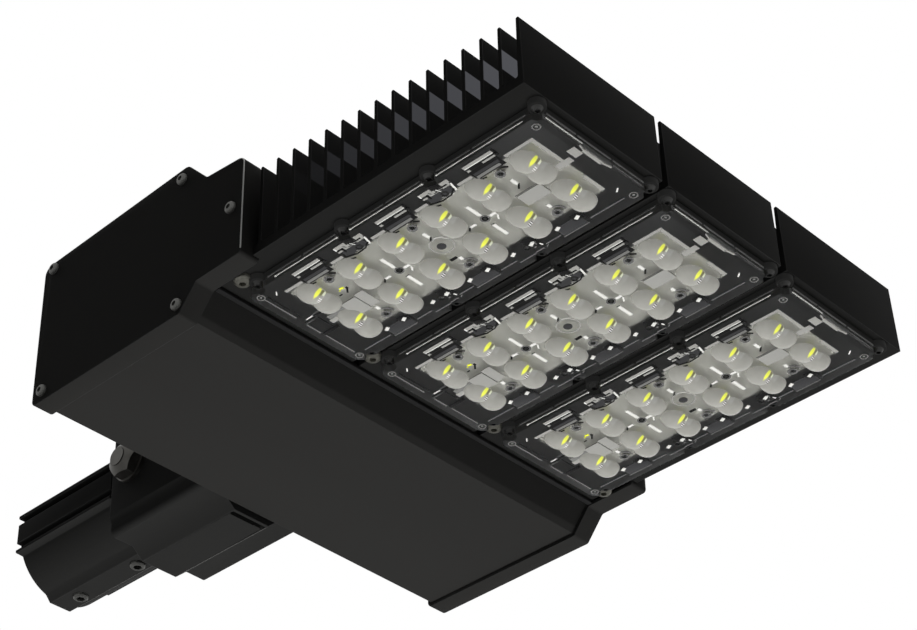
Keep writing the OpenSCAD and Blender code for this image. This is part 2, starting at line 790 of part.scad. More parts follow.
// Places on a light module, measured from its middle
led_places = [
    for (c = [0 : led_cols - 1], r = [0 : led_rows - 1])
        [(c - (led_cols - 1) / 2) * led_pitch, (r - (led_rows - 1) / 2) * led_pitch, 0]
];
ear_xs = [-lens_l / 2 + ear_back, -led_pitch, led_pitch, lens_l / 2 - ear_in];
ear_y = lens_w / 2 - ear_in;
ear_screws = [for (x = ear_xs, y = [-ear_y, ear_y]) [x, y, 0]];
inner_screw_y = board_w / 2 + inner_screw_out;
inner_screws = [for (x = [-led_pitch, led_pitch], y = [-inner_screw_y, inner_screw_y]) [x, y, 0]];
corner_rings = [
    for (x = [-lens_l / 2 + ring_in, lens_l / 2 - ring_in], y = [-lens_w / 2 + ring_in, lens_w / 2 - ring_in])
        [x, y, 0]
];
board_screw_y = board_w / 2 - board_screw_in;
board_screws = [
    for (x = [-2 * led_pitch, 0, 2 * led_pitch], y = [-board_screw_y, board_screw_y]) [x, y, 0]
];

// A light module's piece, put on its heat sink
module on_module(m) {
    translate([module_x, m * module_pitch, 0]) children();
}

module led_board(m) {
    color(board_white) on_module(m) difference() {
        translate([0, 0, under_z - board_t]) linear_extrude(board_t) round_rect(board_l, board_w, board_t);
        for (p = board_screws) translate(p)
            rod_z(rim_screw_d / 2 + running, under_z - board_t - cut, under_z + cut);
    }
}
module led_board_left() { led_board(-1); }
module led_board_middle() { led_board(0); }
module led_board_right() { led_board(1); }

module led_chips(m) {
    color(phosphor) on_module(m) for (p = led_places) translate([p[0], p[1], under_z - board_t]) {
        translate([-chip_w / 2, -chip_w / 2, -chip_h]) cube([chip_w, chip_w, chip_h]);
        rod_z(phosphor_r, -chip_h - phosphor_h, -chip_h / 2);
    }
}
module led_chips_left() { led_chips(-1); }
module led_chips_middle() { led_chips(0); }
module led_chips_right() { led_chips(1); }

module board_screw_set(m) {
    color(steel) on_module(m) for (p = board_screws) translate([p[0], p[1], under_z - board_t])
        hanging_screw(rim_screw_d, board_t + pilot_depth - slip, board_head_r, board_head_h);
}
module board_screws_left() { board_screw_set(-1); }
module board_screws_middle() { board_screw_set(0); }
module board_screws_right() { board_screw_set(1); }

module gasket_ring(grow) {
    l = lens_l - 2 * groove_in + 2 * grow;
    w = lens_w - 2 * groove_in + 2 * grow;
    inner = 2 * (gasket_w + 2 * grow);
    difference() {
        round_rect(l, w, gasket_r + grow);
        round_rect(l - inner, w - inner, gasket_r - gasket_w - grow);
    }
}

module lens_gasket(m) {
    color(dark_rubber) on_module(m)
        translate([0, 0, under_z - gasket_h]) linear_extrude(gasket_h) gasket_ring(0);
}
module lens_gasket_left() { lens_gasket(-1); }
module lens_gasket_middle() { lens_gasket(0); }
module lens_gasket_right() { lens_gasket(1); }

// Lens plate: a rimmed clear plate with a two-lobed lens over each light source
module lens_lobe() {
    rotate([180, 0, 0]) intersection() {
        translate([0, 0, lobe_h - lobe_ball_r]) sphere(r = lobe_ball_r);
        rod_z(lobe_ball_r, -lobe_cap_in, lobe_h + cut);
    }
}

// The plate's flange with its ears, and the rim that stands on it, cut back round the ears' screws
module lens_flange() {
    round_rect(lens_l, lens_w, plate_r);
    for (p = ear_screws) translate([p[0], p[1]]) circle(r = ear_r);
}

module lens_rim() {
    difference() {
        round_rect(lens_l - 2 * rim_step, lens_w - 2 * rim_step, plate_r);
        for (p = ear_screws) translate([p[0], p[1]]) circle(r = ear_notch_r);
    }
}

module lens_plate(m) {
    color(clear_grey) on_module(m) difference() {
        union() {
            translate([0, 0, under_z - flange_h]) linear_extrude(flange_h) lens_flange();
            translate([0, 0, lens_z]) linear_extrude(lens_h) lens_rim();
            for (p = led_places, side = [-1, 1])
                translate([p[0], p[1] + side * lobe_pitch / 2, lens_z]) lens_lobe();
            for (x = [-led_pitch, led_pitch]) translate([x, 0, lens_z - rib_h]) linear_extrude(rib_h) {
                square([rib_l, rib_w], center = true);
                square([rib_w, rib_l], center = true);
                circle(r = rib_hole_r + rib_w);
            }
            rod_z_at([0, 0], boss_r, lens_z - boss_h, lens_z);
            for (x = [-2 * led_pitch, 2 * led_pitch])
                block([x - pad_l / 2, -pad_w / 2, lens_z - pad_h], [x + pad_l / 2, pad_w / 2, lens_z]);
            for (p = corner_rings) rod_z_at(p, ring_r, lens_z - ring_h, lens_z);
        }
        translate([0, 0, window_z]) linear_extrude(lens_h + cut)
            round_rect(board_l + 2 * board_gap, board_w + 2 * board_gap, board_t + board_gap);
        for (p = board_screws) rod_z_at(p, board_head_r + slip, window_z - board_head_h, window_z + cut);
        translate([0, 0, under_z - gasket_h]) linear_extrude(gasket_h + cut) gasket_ring(0);
        for (p = led_places) translate([p[0], p[1], window_z]) sphere(r = cavity_r);
        for (x = [-led_pitch, led_pitch]) rod_z_at([x, 0], rib_hole_r, lens_z - rib_h - cut, lens_z);
        rod_z_at([0, 0], boss_hole_r, lens_z - boss_h - cut, lens_z);
        for (p = corner_rings) rod_z_at(p, ring_hole_r, lens_z - ring_h - cut, lens_z + ring_h);
        for (y = sink_screw_y)
            rod_z_at(
                [sink_screw_x - module_x, y - m * module_pitch],
                sink_head_r + slip, lens_z - cut, under_z + cut
            );
        for (p = ear_screws) rod_z_at(p, rim_screw_d / 2 + running, lens_z, under_z + cut);
        for (p = inner_screws) {
            rod_z_at(p, rim_screw_d / 2 + running, lens_z, under_z + cut);
            rod_z_at(p, rim_head_r + running, lens_z - cut, lens_z + recess_depth);
        }
    }
}
module lens_plate_left() { lens_plate(-1); }
module lens_plate_middle() { lens_plate(0); }
module lens_plate_right() { lens_plate(1); }

module lens_screw_set(m) {
    color(dull_steel) on_module(m) {
        for (p = ear_screws) translate([p[0], p[1], under_z - flange_h])
            hanging_screw(rim_screw_d, flange_h + pilot_depth - slip, rim_head_r, rim_head_h);
        for (p = inner_screws) translate([p[0], p[1], lens_z + recess_depth])
            hanging_screw(rim_screw_d, lens_h - recess_depth + pilot_depth - slip, rim_head_r, rim_head_h);
    }
}
module lens_screws_left() { lens_screw_set(-1); }
module lens_screws_middle() { lens_screw_set(0); }
module lens_screws_right() { lens_screw_set(1); }

// Power supply on its tray, and the wiring pieces on the front ledge
module driver_tray() {
    l = supply_w + 2 * tray_margin;
    half_y = supply_l / 2 + ear_l + tray_side;
    low_x = supply_x - l / 2;
    color(steel) difference() {
        union() {
            block([low_x, -half_y, tray_z], [low_x + l, half_y, tray_z + tray_t]);
            for (x = [low_x, low_x + l - tray_t])
                block([x, -half_y, tray_z], [x + tray_t, half_y, tray_z + tray_lip]);
        }
        for (y = [-supply_ear_y, supply_ear_y])
            rod_z_at([supply_x, y], ear_screw_d / 2 + running, tray_z - cut, tray_z + tray_t + cut);
    }
}

module power_supply() {
    rib_count = floor((supply_l - 2 * supply_edge_r) / supply_rib_pitch);
    color(dull_steel) translate([supply_x, 0, supply_z]) difference() {
        union() {
            along_y(-supply_l / 2, supply_l / 2) translate([0, supply_h / 2])
                round_rect(supply_w, supply_h, supply_edge_r);
            for (side = [-1, 1]) translate([0, side * supply_ear_y, 0])
                block([-supply_w / 4, -ear_l / 2, 0], [supply_w / 4, ear_l / 2, ear_t]);
        }
        for (i = [0 : rib_count - 1], side = [-1, 1])
            translate([side * supply_w / 2, (i - (rib_count - 1) / 2) * supply_rib_pitch, 0])
                block([-supply_rib_d, -supply_rib_d, ear_t], [supply_rib_d, supply_rib_d, supply_h]);
        for (side = [-1, 1])
            rod_z_at([0, side * supply_ear_y], ear_screw_d / 2 + running, -cut, ear_t + cut);
    }
}

module supply_screws() {
    color(steel) for (side = [-1, 1])
        translate([supply_x, side * supply_ear_y, supply_z + ear_t]) mirror([0, 0, 1])
            hanging_screw(ear_screw_d, ear_screw_l, ear_head_r, ear_head_h);
}

module shelf_screws() {
    color(steel) for (y = shelf_screw_ys)
        translate([shelf_x, y, shelf_z + ear_t]) mirror([0, 0, 1])
            hanging_screw(shelf_screw_d, ear_t + box_wall / 2, shelf_head_r, shelf_head_h);
}

module shelf_foot(l) {
    linear_extrude(ear_t) difference() {
        round_rect(surge_w / 2, l + 2 * surge_ear, ear_t);
        for (side = [-1, 1]) translate([0, side * (l + surge_ear) / 2])
            circle(r = shelf_screw_d / 2 + running);
    }
}

module surge_protector() {
    color(board_white) translate([shelf_x, surge_y, shelf_z]) {
        linear_extrude(surge_h) round_rect(surge_w, surge_l, supply_edge_r);
        shelf_foot(surge_l);
    }
}

module terminal_block() {
    way = block_l / block_ways;
    color(board_white) translate([shelf_x, 0, shelf_z]) difference() {
        union() {
            block([-block_w / 2, -block_l / 2, 0], [block_w / 2, block_l / 2, block_h]);
            shelf_foot(block_l);
        }
        for (i = [0 : block_ways - 1]) translate([0, (i - (block_ways - 1) / 2) * way, 0]) {
            translate([0, 0, block_h / 3]) rod_x(block_wire_r, -block_w, block_w);
            rod_z(block_screw_r, block_h / 2, block_h + cut);
        }
    }
}

slipfitter_arm();
clamp_screw_rear();
clamp_screw_front();
neck_bracket();
tilt_discs();
tilt_bolt();
tilt_washers();
tilt_nut();
neck_gasket();
neck_screws();
cable_grommet();
driver_housing();
end_cap_left();
end_cap_right();
cap_gasket_left();
cap_gasket_right();
cap_screws_left();
cap_screws_right();
driver_tray();
power_supply();
supply_screws();
surge_protector();
terminal_block();
shelf_screws();
sink_screws();
sink_nuts();
heat_sink_left();
heat_sink_middle();
heat_sink_right();
led_board_left();
led_board_middle();
led_board_right();
led_chips_left();
led_chips_middle();
led_chips_right();
board_screws_left();
board_screws_middle();
board_screws_right();
lens_gasket_left();
lens_gasket_middle();
lens_gasket_right();
lens_plate_left();
lens_plate_middle();
lens_plate_right();
lens_screws_left();
lens_screws_middle();
lens_screws_right();
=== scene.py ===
import json
import math

import bmesh
import bpy
from mathutils import Matrix, Vector


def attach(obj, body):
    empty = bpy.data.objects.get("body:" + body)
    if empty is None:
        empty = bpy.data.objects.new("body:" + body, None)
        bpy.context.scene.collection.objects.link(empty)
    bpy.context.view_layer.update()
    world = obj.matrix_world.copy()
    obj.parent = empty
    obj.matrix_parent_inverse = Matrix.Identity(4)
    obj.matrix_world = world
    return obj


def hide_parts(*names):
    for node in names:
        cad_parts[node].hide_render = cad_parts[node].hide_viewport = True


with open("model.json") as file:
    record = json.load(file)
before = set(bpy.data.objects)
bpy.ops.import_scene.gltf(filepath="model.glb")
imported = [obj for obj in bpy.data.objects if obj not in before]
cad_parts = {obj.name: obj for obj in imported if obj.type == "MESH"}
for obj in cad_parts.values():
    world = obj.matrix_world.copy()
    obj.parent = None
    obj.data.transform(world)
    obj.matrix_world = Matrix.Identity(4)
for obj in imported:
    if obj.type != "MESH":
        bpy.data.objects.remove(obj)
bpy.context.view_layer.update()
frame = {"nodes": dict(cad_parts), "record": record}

MM = 0.001
NODES = frame["nodes"]


# Camera

# Where the photograph was taken from, fitted to the part in millimetres
CAMERA_AT = (914.88, -674.16, -671.65)
CAMERA_RIGHT = (0.7258, 0.6877, -0.0175)
CAMERA_AHEAD = (-0.5448, 0.5901, 0.5957)
FOCAL_PIXELS = 2408
PHOTO_WIDTH = 917
SENSOR = 36


def place_camera():
    data = bpy.data.cameras.new("camera")
    data.sensor_width = SENSOR
    data.lens = FOCAL_PIXELS / PHOTO_WIDTH * SENSOR
    data.clip_start = 0.05
    data.clip_end = 20
    camera = bpy.data.objects.new("camera", data)
    bpy.context.scene.collection.objects.link(camera)
    right = Vector(CAMERA_RIGHT).normalized()
    back = -Vector(CAMERA_AHEAD)
    back = (back - right * back.dot(right)).normalized()
    up = back.cross(right)
    camera.matrix_world = Matrix((
        (right.x, up.x, back.x, CAMERA_AT[0] * MM),
        (right.y, up.y, back.y, CAMERA_AT[1] * MM),
        (right.z, up.z, back.z, CAMERA_AT[2] * MM),
        (0, 0, 0, 1),
    ))
    bpy.context.scene.camera = camera


place_camera()


# Places of the part, in millimetres

# The light modules: the middle one's centre, the steps of the grid, and the levels of the plates
MODULE_X = 360.0
MODULE_PITCH = 81.8
LED_PITCH = 25.4
LED_COLUMNS = 6
LENS_Z = -33.3
FLANGE_Z = -29.7
UNDER_Z = -26.5

# The fins' sloped tops, and the part of them on which a pale sheen is painted as a glow
FIN_TIP_X = 449.0
FIN_TIP_TOP = 10.8
FIN_SLOPE = 10.6 / 152.8
SHEEN_DOWN = (12.6, 23.2)
SHEEN_Y = (-129.2, -119.5)
SHEEN_X = (314.0, 439.0)
SHEEN_END_X = 445.0

# The chin slope and the step, where shade is painted into the coat as a darker colour
CHIN_X = (252.6, 253.6)
CHIN_Z = -25.0

# Where highlights are painted on the edge coat: the right side of the arm's foot, and the end caps'
# upright front edges
FOOT_X = 149.0
FOOT_Y = 5.0
FOOT_Z = -30.0
CAP_EDGE_X = (287.0, 292.0)
CAP_EDGE_Y = 135.5
CAP_EDGE_Z = (-26.0, 27.0)


# Finishes

class Wire:
    """A socket of a material, with operators that add Math nodes."""

    def __init__(self, tree, socket=None):
        self.tree = tree
        self.socket = socket

    def node(self, kind, settings=None, sockets=None, output=0):
        """Any node: its type, its settings, then the values or wires of its sockets."""
        made = self.tree.nodes.new(kind)
        for name, value in (settings or {}).items():
            setattr(made, name, value)
        for name, value in (sockets or {}).items():
            plug(self.tree, made.inputs[name], value)
        return Wire(self.tree, made.outputs[output])

    def maths(self, operation, first, second=0.0, third=0.0):
        sockets = {0: first, 1: second, 2: third}
        return self.node("ShaderNodeMath", {"operation": operation}, sockets)

    def __add__(self, other):
        return self.maths("ADD", self, other)

    def __radd__(self, other):
        return self.maths("ADD", other, self)

    def __sub__(self, other):
        return self.maths("SUBTRACT", self, other)

    def __rsub__(self, other):
        return self.maths("SUBTRACT", other, self)

    def __mul__(self, other):
        return self.maths("MULTIPLY", self, other)

    def __gt__(self, other):
        return self.maths("GREATER_THAN", self, other)

    def __lt__(self, other):
        return self.maths("LESS_THAN", self, other)

    def __abs__(self):
        return self.maths("ABSOLUTE", self)


def plug(tree, socket, value):
    if isinstance(value, Wire):
        tree.links.new(value.socket, socket)
    else:
        socket.default_value = value


def feed(material, **sockets):
    """Sets the sockets of the material's Principled shader, to a value or to a wire."""
    shader = material.node_tree.nodes["Principled BSDF"]
    for socket, value in sockets.items():
        plug(material.node_tree, shader.inputs[socket.replace("_", " ")], value)


def finish(name, **sockets):
    """A material whose shader has these constants on its own sockets."""
    material = bpy.data.materials.new(name)
    material.use_nodes = True
    feed(material, **sockets)
    return material


def place_of(material):
    """The Object coordinates."""
    return Wire(material.node_tree).node("ShaderNodeTexCoord", output=3)


def axes(place):
    """X, Y and Z of a place, in millimetres."""
    split = place.node("ShaderNodeSeparateXYZ", sockets={"Vector": place})
    return [Wire(place.tree, out) * (1 / MM) for out in split.socket.node.outputs]


def noise(place, scale, detail=3.0, stretch=(1, 1, 1)):
    stretched = place.node("ShaderNodeMapping", sockets={"Vector": place, "Scale": stretch})
    sockets = {"Vector": stretched, "Scale": scale, "Detail": detail}
    return place.node("ShaderNodeTexNoise", sockets=sockets)


def layered(below, mask, above):
    """One colour laid over another where the mask is 1."""
    colours = [c if isinstance(c, Wire) else (*c, 1) for c in (below, above)]
    sockets = {"Factor": mask, 6: colours[0], 7: colours[1]}
    return mask.node("ShaderNodeMix", {"data_type": "RGBA"}, sockets, output=2)


def bumped(height, strength, reach):
    sockets = {"Height": height, "Strength": strength, "Distance": reach}
    return height.node("ShaderNodeBump", sockets=sockets)


def rise(value, low, high, way="SMOOTHSTEP"):
    """0 where the value is at low, 1 where it is at high, and a soft or even change between."""
    sockets = {"Value": value, "From Min": low, "From Max": high}
    return value.node("ShaderNodeMapRange", {"interpolation_type": way}, sockets)


def between(value, low, high):
    return (value > low) * (value < high)


def wrapped(value, reach):
    """A value brought between -reach and +reach by whole turns."""
    return value.maths("WRAP", value, reach, -reach)


def powder_coat(name, dark, light, stretch=(1, 1, 1)):
    """Satin black powder coat: a fine orange peel, and dust that dulls it in patches."""
    coat = finish(name, Specular_IOR_Level=0.008)
    place = place_of(coat)
    cloud = noise(place, scale=9.0, detail=4.0, stretch=stretch)
    peel = noise(place, scale=1500.0, detail=2.0)
    feed(
        coat,
        Base_Color=layered(dark, cloud, light),
        Roughness=0.5 + cloud * 0.14,
        Normal=bumped(peel, strength=0.12, reach=0.0002),
    )
    return coat


def metal(name, dark, light, rough):
    """Plated steel with fine scratches."""
    plate = finish(name, Metallic=1.0)
    place = place_of(plate)
    cloud = noise(place, scale=260.0, detail=4.0)
    fine = noise(place, scale=2600.0, detail=2.0)
    feed(
        plate,
        Base_Color=layered(dark, cloud, light),
        Roughness=rough - 0.08 + cloud * 0.16,
        Normal=bumped(fine, strength=0.1, reach=0.0001),
    )
    return plate


def moulded(name, dark, light, rough, level=0.4, grit=0.15, glow=0.0):
    """Plastic or rubber with a fine grain, and a painted glow of its own colour, as strong as
    asked.
    """
    mould = finish(name, Specular_IOR_Level=level, Emission_Strength=glow)
    place = place_of(mould)
    cloud = noise(place, scale=60.0)
    grain = noise(place, scale=2000.0, detail=2.0)
    colour = layered(dark, cloud, light)
    feed(
        mould,
        Base_Color=colour,
        Emission_Color=colour,
        Roughness=rough - 0.05 + cloud * 0.1,
        Normal=bumped(grain, strength=grit, reach=0.0001),
    )
    return mould


# On the extrusions the dust's patches are long in Y
LONG_PATCHES = (1, 0.12, 1)


def fin_coat_and_painted_sheen():
    """The sinks' coat, with a painted sheen: a pale glow on the left ends of the fins."""
    coat = powder_coat("sink_paint", (0.0115, 0.0115, 0.011), (0.0155, 0.0155, 0.015), LONG_PATCHES)
    place = place_of(coat)
    x, y, z = axes(place)
    normal = place.node("ShaderNodeNewGeometry", output=1)
    tipward = place.node("ShaderNodeSeparateXYZ", sockets={"Vector": normal}) > 0.7
    down = FIN_TIP_TOP + (FIN_TIP_X - x) * FIN_SLOPE - z
    # Painted sheen: a pale glow on the fins' tipward faces near their left ends, stronger towards
    # the tip
    sheen = between(down, *SHEEN_DOWN) * between(y, *SHEEN_Y) * (x < SHEEN_END_X) * tipward
    strength = rise(x, *SHEEN_X, "LINEAR")
    feed(
        coat,
        Emission_Color=layered((0, 0, 0), sheen * strength, (0.88, 0.90, 1.0)),
        Emission_Strength=0.085,
    )
    return coat


def housing_coat():
    """The housing's coat, with shade painted darker on the chin slope and under the step."""
    coat = powder_coat(
        "housing_paint", (0.019, 0.0188, 0.018), (0.025, 0.0247, 0.0237), LONG_PATCHES
    )
    x, _, z = axes(place_of(coat))
    base = coat.node_tree.nodes["Principled BSDF"].inputs["Base Color"]
    plain = Wire(coat.node_tree, base.links[0].from_socket)
    # Painted shade: the coat darker on the chin slope and under the step
    slope = rise(x, *CHIN_X) * (z < CHIN_Z)
    feed(coat, Base_Color=layered(plain, slope, (0.0135, 0.0134, 0.0128)))
    return coat


def edge_coat_and_painted_highlights():
    """Coat on the eased edges, with painted highlights on the arm's foot and, palest, on the end
    caps' front edges.
    """
    coat = finish("edge_paint", Specular_IOR_Level=0.03)
    place = place_of(coat)
    x, y, z = axes(place)
    cloud = noise(place, scale=90.0)
    foot = (x < FOOT_X) * (z < FOOT_Z) * (y > FOOT_Y)
    front = between(x, *CAP_EDGE_X) * (abs(y) > CAP_EDGE_Y) * between(z, *CAP_EDGE_Z)
    colour = layered((0.017, 0.017, 0.0165), cloud, (0.024, 0.024, 0.0235))
    # Painted highlights: lighter on the arm's foot, palest on the end caps' front edges
    colour = layered(colour, foot, (0.10, 0.10, 0.096))
    colour = layered(colour, front, (0.7, 0.7, 0.68))
    feed(coat, Base_Color=colour, Roughness=0.4 + cloud * 0.1)
    return coat


def clear_plastic():
    """Clear moulded plastic, a little hazy where it has weathered."""
    clear = finish(
        "lens_clear",
        Transmission_Weight=1.0,
        IOR=1.49,
        Specular_Tint=(0.05, 0.05, 0.05, 1),
    )
    place = place_of(clear)
    haze = noise(place, scale=30.0)
    ripple = noise(place, scale=220.0, detail=1.0)
    feed(
        clear,
        Base_Color=layered((0.90, 0.90, 0.88), haze, (0.97, 0.97, 0.95)),
        Roughness=0.28 + haze * 0.03,
        Normal=bumped(ripple, strength=0.03, reach=0.0002),
    )
    return clear


# How far the painted picture of what the prism shows is moved in X and Y, for each millimetre below
# the plate's face
PRISM_X = -0.914
PRISM_Y = 0.99

# Its middle line: how far it is off the light source, and where and how much it leans
PRISM_OFF = 2.4
LEAN_X = 1.9
LEAN = 0.42

# The painted bands along that line, a pale glow, a dark fringe and a pale streak: how far off it
# each is, then the change at its edge, at its near end and at its far end, and its colour
LENS_BANDS = (
    (5.0, (2.2, 0.8), (-0.5, 2.5), (7.0, 5.0), (0.235, 0.235, 0.222)),
    (1.75, (1.0, 0.3), (0.2, 2.2), (5.6, 4.8), (0.105, 0.105, 0.048)),
    (3.0, (0.75, 0.3), (1.6, 2.6), (6.2, 5.2), (0.45, 0.47, 0.36)),
)

# The painted yellow picture of the light source on it: half its width, where it is widest and how
# it tapers, and the same changes
PATCH_HALF = 1.1
PATCH_X = 2.2
PATCH_TAPER = 0.045
PATCH_EDGE = (-0.35, 0.45)
PATCH_NEAR = (-4.2, 0.6)
PATCH_FAR = (5.9, 4.9)
PATCH_YELLOW = (0.56, 0.58, 0.07)

# The row of painted glints beside it
GLINT_OFF = 3.0
GLINT_EDGE = (0.95, 0.65)
GLINT_X = (-2.7, 0.5)
GLINTS_PER_MM = 0.8
GLINT_WHITE = (0.46, 0.45, 0.45)
GLINT_BLACK = (0.02, 0.018, 0.02)


def milky_lens_and_painted_light():
    """Milky lens with a painted glow, and painted on it what its prism shows: the light source, a
    dark edge, pale bands and a row of glints.
    """
    # The lens glows with painted light of its own colour
    milk = finish(
        "milky_lens_and_painted_light",
        IOR=1.49,
        Specular_IOR_Level=0.25,
        Subsurface_Weight=0.75,
        Subsurface_Radius=(1, 1, 1),
        Subsurface_Scale=0.004,
        Emission_Strength=0.8,
    )
    place = place_of(milk)
    x, y, z = axes(place)
    depth = LENS_Z - z
    across = wrapped(x + depth * PRISM_X - MODULE_X - LED_PITCH / 2, LED_PITCH / 2)
    row = wrapped(y + depth * PRISM_Y, MODULE_PITCH / 2)
    side = y.maths("SIGN", wrapped(y, MODULE_PITCH / 2))
    off = side * (abs(row) - LED_PITCH / 2) + PRISM_OFF + (across - LEAN_X) * LEAN
    haze = noise(place, scale=120.0)
    colour = layered((0.178, 0.176, 0.160), haze, (0.225, 0.222, 0.204))
    # Painted light: the prism's bands, the light source's yellow picture and the glints
    for line, edge, near, far, shade in LENS_BANDS:
        band = rise(abs(off - line), *edge) * rise(across, *near) * rise(across, *far)
        colour = layered(colour, band, shade)
    swell = PATCH_HALF - (across - PATCH_X) * (across - PATCH_X) * PATCH_TAPER
    patch = rise(swell - abs(off), *PATCH_EDGE)
    patch = patch * rise(across, *PATCH_NEAR) * rise(across, *PATCH_FAR)
    colour = layered(colour, patch, PATCH_YELLOW)
    comb = across.maths("FRACT", across * GLINTS_PER_MM)
    glint = rise(abs(off - GLINT_OFF), *GLINT_EDGE) * between(across, *GLINT_X)
    colour = layered(colour, glint * (comb > 0.55), GLINT_WHITE)
    lower_row = y.maths("FLOORED_MODULO", y, MODULE_PITCH) < MODULE_PITCH / 2
    colour = layered(colour, glint * (comb < 0.45) * lower_row, GLINT_BLACK)
    feed(milk, Base_Color=colour, Emission_Color=colour, Roughness=0.3 + haze * 0.1)
    return milk


# One finish for each slot of the record
FINISHES = {
    "arm_paint": powder_coat("arm_paint", (0.016, 0.016, 0.0155), (0.022, 0.022, 0.0213)),
    "housing_paint": housing_coat(),
    "cap_paint": powder_coat("cap_paint", (0.018, 0.0178, 0.017), (0.023, 0.0227, 0.0217)),
    "sink_paint": fin_coat_and_painted_sheen(),
    "zinc_steel": metal("zinc_steel", (0.20, 0.197, 0.17), (0.30, 0.295, 0.26), rough=0.6),
    "dark_steel": metal("dark_steel", (0.022, 0.022, 0.021), (0.04, 0.04, 0.038), rough=0.55),
    "black_rubber": moulded(
        "black_rubber", (0.008, 0.008, 0.008), (0.013, 0.013, 0.013), rough=0.7, level=0.2
    ),
    "sheet_steel": metal("sheet_steel", (0.45, 0.45, 0.44), (0.6, 0.6, 0.58), rough=0.4),
    "supply_case": metal("supply_case", (0.35, 0.35, 0.35), (0.45, 0.45, 0.45), rough=0.5),
    "white_plastic": moulded("white_plastic", (0.70, 0.70, 0.67), (0.76, 0.76, 0.73), rough=0.45),
    # The board glows with painted light of its own colour
    "board_white": moulded(
        "board_white", (0.185, 0.184, 0.168), (0.225, 0.223, 0.206), rough=0.5, level=0.1, glow=0.7
    ),
    "phosphor": moulded("phosphor", (0.78, 0.84, 0.04), (0.84, 0.9, 0.06), rough=0.5),
    "lens_clear": clear_plastic(),
}

# Finishes of the details and of a few single pieces
PALE_EDGE = moulded("pale_edge", (0.60, 0.60, 0.57), (0.76, 0.76, 0.72), rough=0.35)
DULL_EDGE = moulded("dull_edge", (0.030, 0.030, 0.031), (0.040, 0.040, 0.042), rough=0.4, level=0.1)
GREY_EDGE = moulded("grey_edge", (0.10, 0.10, 0.10), (0.15, 0.15, 0.145), rough=0.4, level=0.2)
LEDGE_GREY = moulded("ledge_grey", (0.14, 0.14, 0.134), (0.18, 0.18, 0.172), rough=0.4, level=0.2)
# The black frame and its ears glow with painted light of their own colour
FRAME_BLACK = moulded(
    "frame_black", (0.0027, 0.0027, 0.0026), (0.0035, 0.0035, 0.0034),
    rough=0.5, level=0.03, grit=0.02, glow=3.0,
)
EAR_BLACK = moulded(
    "ear_black", (0.0034, 0.0034, 0.0033), (0.0044, 0.0044, 0.0043),
    rough=0.5, level=0.03, grit=0.02, glow=3.0,
)
EDGE_PAINT = edge_coat_and_painted_highlights()
PAD_PALE = moulded("pad_pale", (0.27, 0.268, 0.25), (0.32, 0.318, 0.30), rough=0.5, level=0.2)
BLACK_MOULD = moulded(
    "black_mould", (0.006, 0.006, 0.006), (0.010, 0.010, 0.010), rough=0.4, level=0.1
)
LENS_MILK_AND_PAINTED_LIGHT = milky_lens_and_painted_light()
CLAMP_STEEL = metal("clamp_steel", (0.10, 0.10, 0.095), (0.17, 0.17, 0.16), rough=0.5)
TILT_STEEL = metal("tilt_steel", (0.045, 0.044, 0.04), (0.10, 0.097, 0.09), rough=0.5)
RIM_SCREW_STEEL = metal("rim_screw_steel", (0.045, 0.045, 0.044), (0.075, 0.075, 0.073), rough=0.5)
CAP_SCREW_STEEL = metal("cap_screw_steel", (0.08, 0.08, 0.076), (0.13, 0.13, 0.123), rough=0.6)

BY_NODE = {
    "clamp_screw_rear": CLAMP_STEEL,
    "clamp_screw_front": CLAMP_STEEL,
    "tilt_nut": TILT_STEEL,
    "tilt_bolt": TILT_STEEL,
    "tilt_washers": TILT_STEEL,
    "lens_screws_left": RIM_SCREW_STEEL,
    "lens_screws_middle": RIM_SCREW_STEEL,
    "lens_screws_right": RIM_SCREW_STEEL,
}


def dress_nodes():
    """Gives each CAD node its own finish, or else its slot's."""
    slots = {part["node"]: part["material_slot"] for part in frame["record"]["subparts"]}
    for name, node in NODES.items():
        node.data.materials.clear()
        node.data.materials.append(BY_NODE.get(name) or FINISHES[slots[name]])


dress_nodes()


# Shapes, in millimetres

BODY = "head"
SIDES = {"left": -1, "middle": 0, "right": 1}

# Levels nearer to each other than this are the same level
NEAR = 0.01

ROUND_SIDES = 32
RING_SINK = 0.7
CREASE_ANGLE = 35


def settle():
    """The new piece, its place, turn and size gone into its mesh."""
    bpy.ops.object.transform_apply(location=True, rotation=True, scale=True)
    return bpy.context.active_object


def pick_down(piece):
    """Selects the faces that look down."""
    mesh = bmesh.from_edit_mesh(piece.data)
    bpy.ops.mesh.select_mode(type="FACE")
    bpy.ops.mesh.select_all(action="DESELECT")
    for face in mesh.faces:
        if face.normal.z < -0.9:
            face.select_set(True)
    bmesh.update_edit_mesh(piece.data)


def pick_edges(piece, test):
    """Selects the edges that pass the test."""
    mesh = bmesh.from_edit_mesh(piece.data)
    bpy.ops.mesh.select_mode(type="EDGE")
    bpy.ops.mesh.select_all(action="DESELECT")
    for edge in mesh.edges:
        if test(edge):
            edge.select_set(True)
    mesh.select_flush_mode()
    bmesh.update_edit_mesh(piece.data)


def levels(edge):
    """The levels of the edge's two ends."""
    return [end.co.z / MM for end in edge.verts]


def pick_low_rim(piece, low_z):
    """Selects the edges that lie at the piece's lowest level."""
    pick_edges(piece, lambda edge: max(levels(edge)) < low_z + NEAR)


def pick_upright(piece):
    """Selects the edges that go from one level to another."""
    pick_edges(piece, lambda edge: max(levels(edge)) - min(levels(edge)) > NEAR)


def ease(width, segments=2):
    """Rounds off the selected edges."""
    bpy.ops.mesh.bevel(offset=width * MM, segments=segments, affect="EDGES")


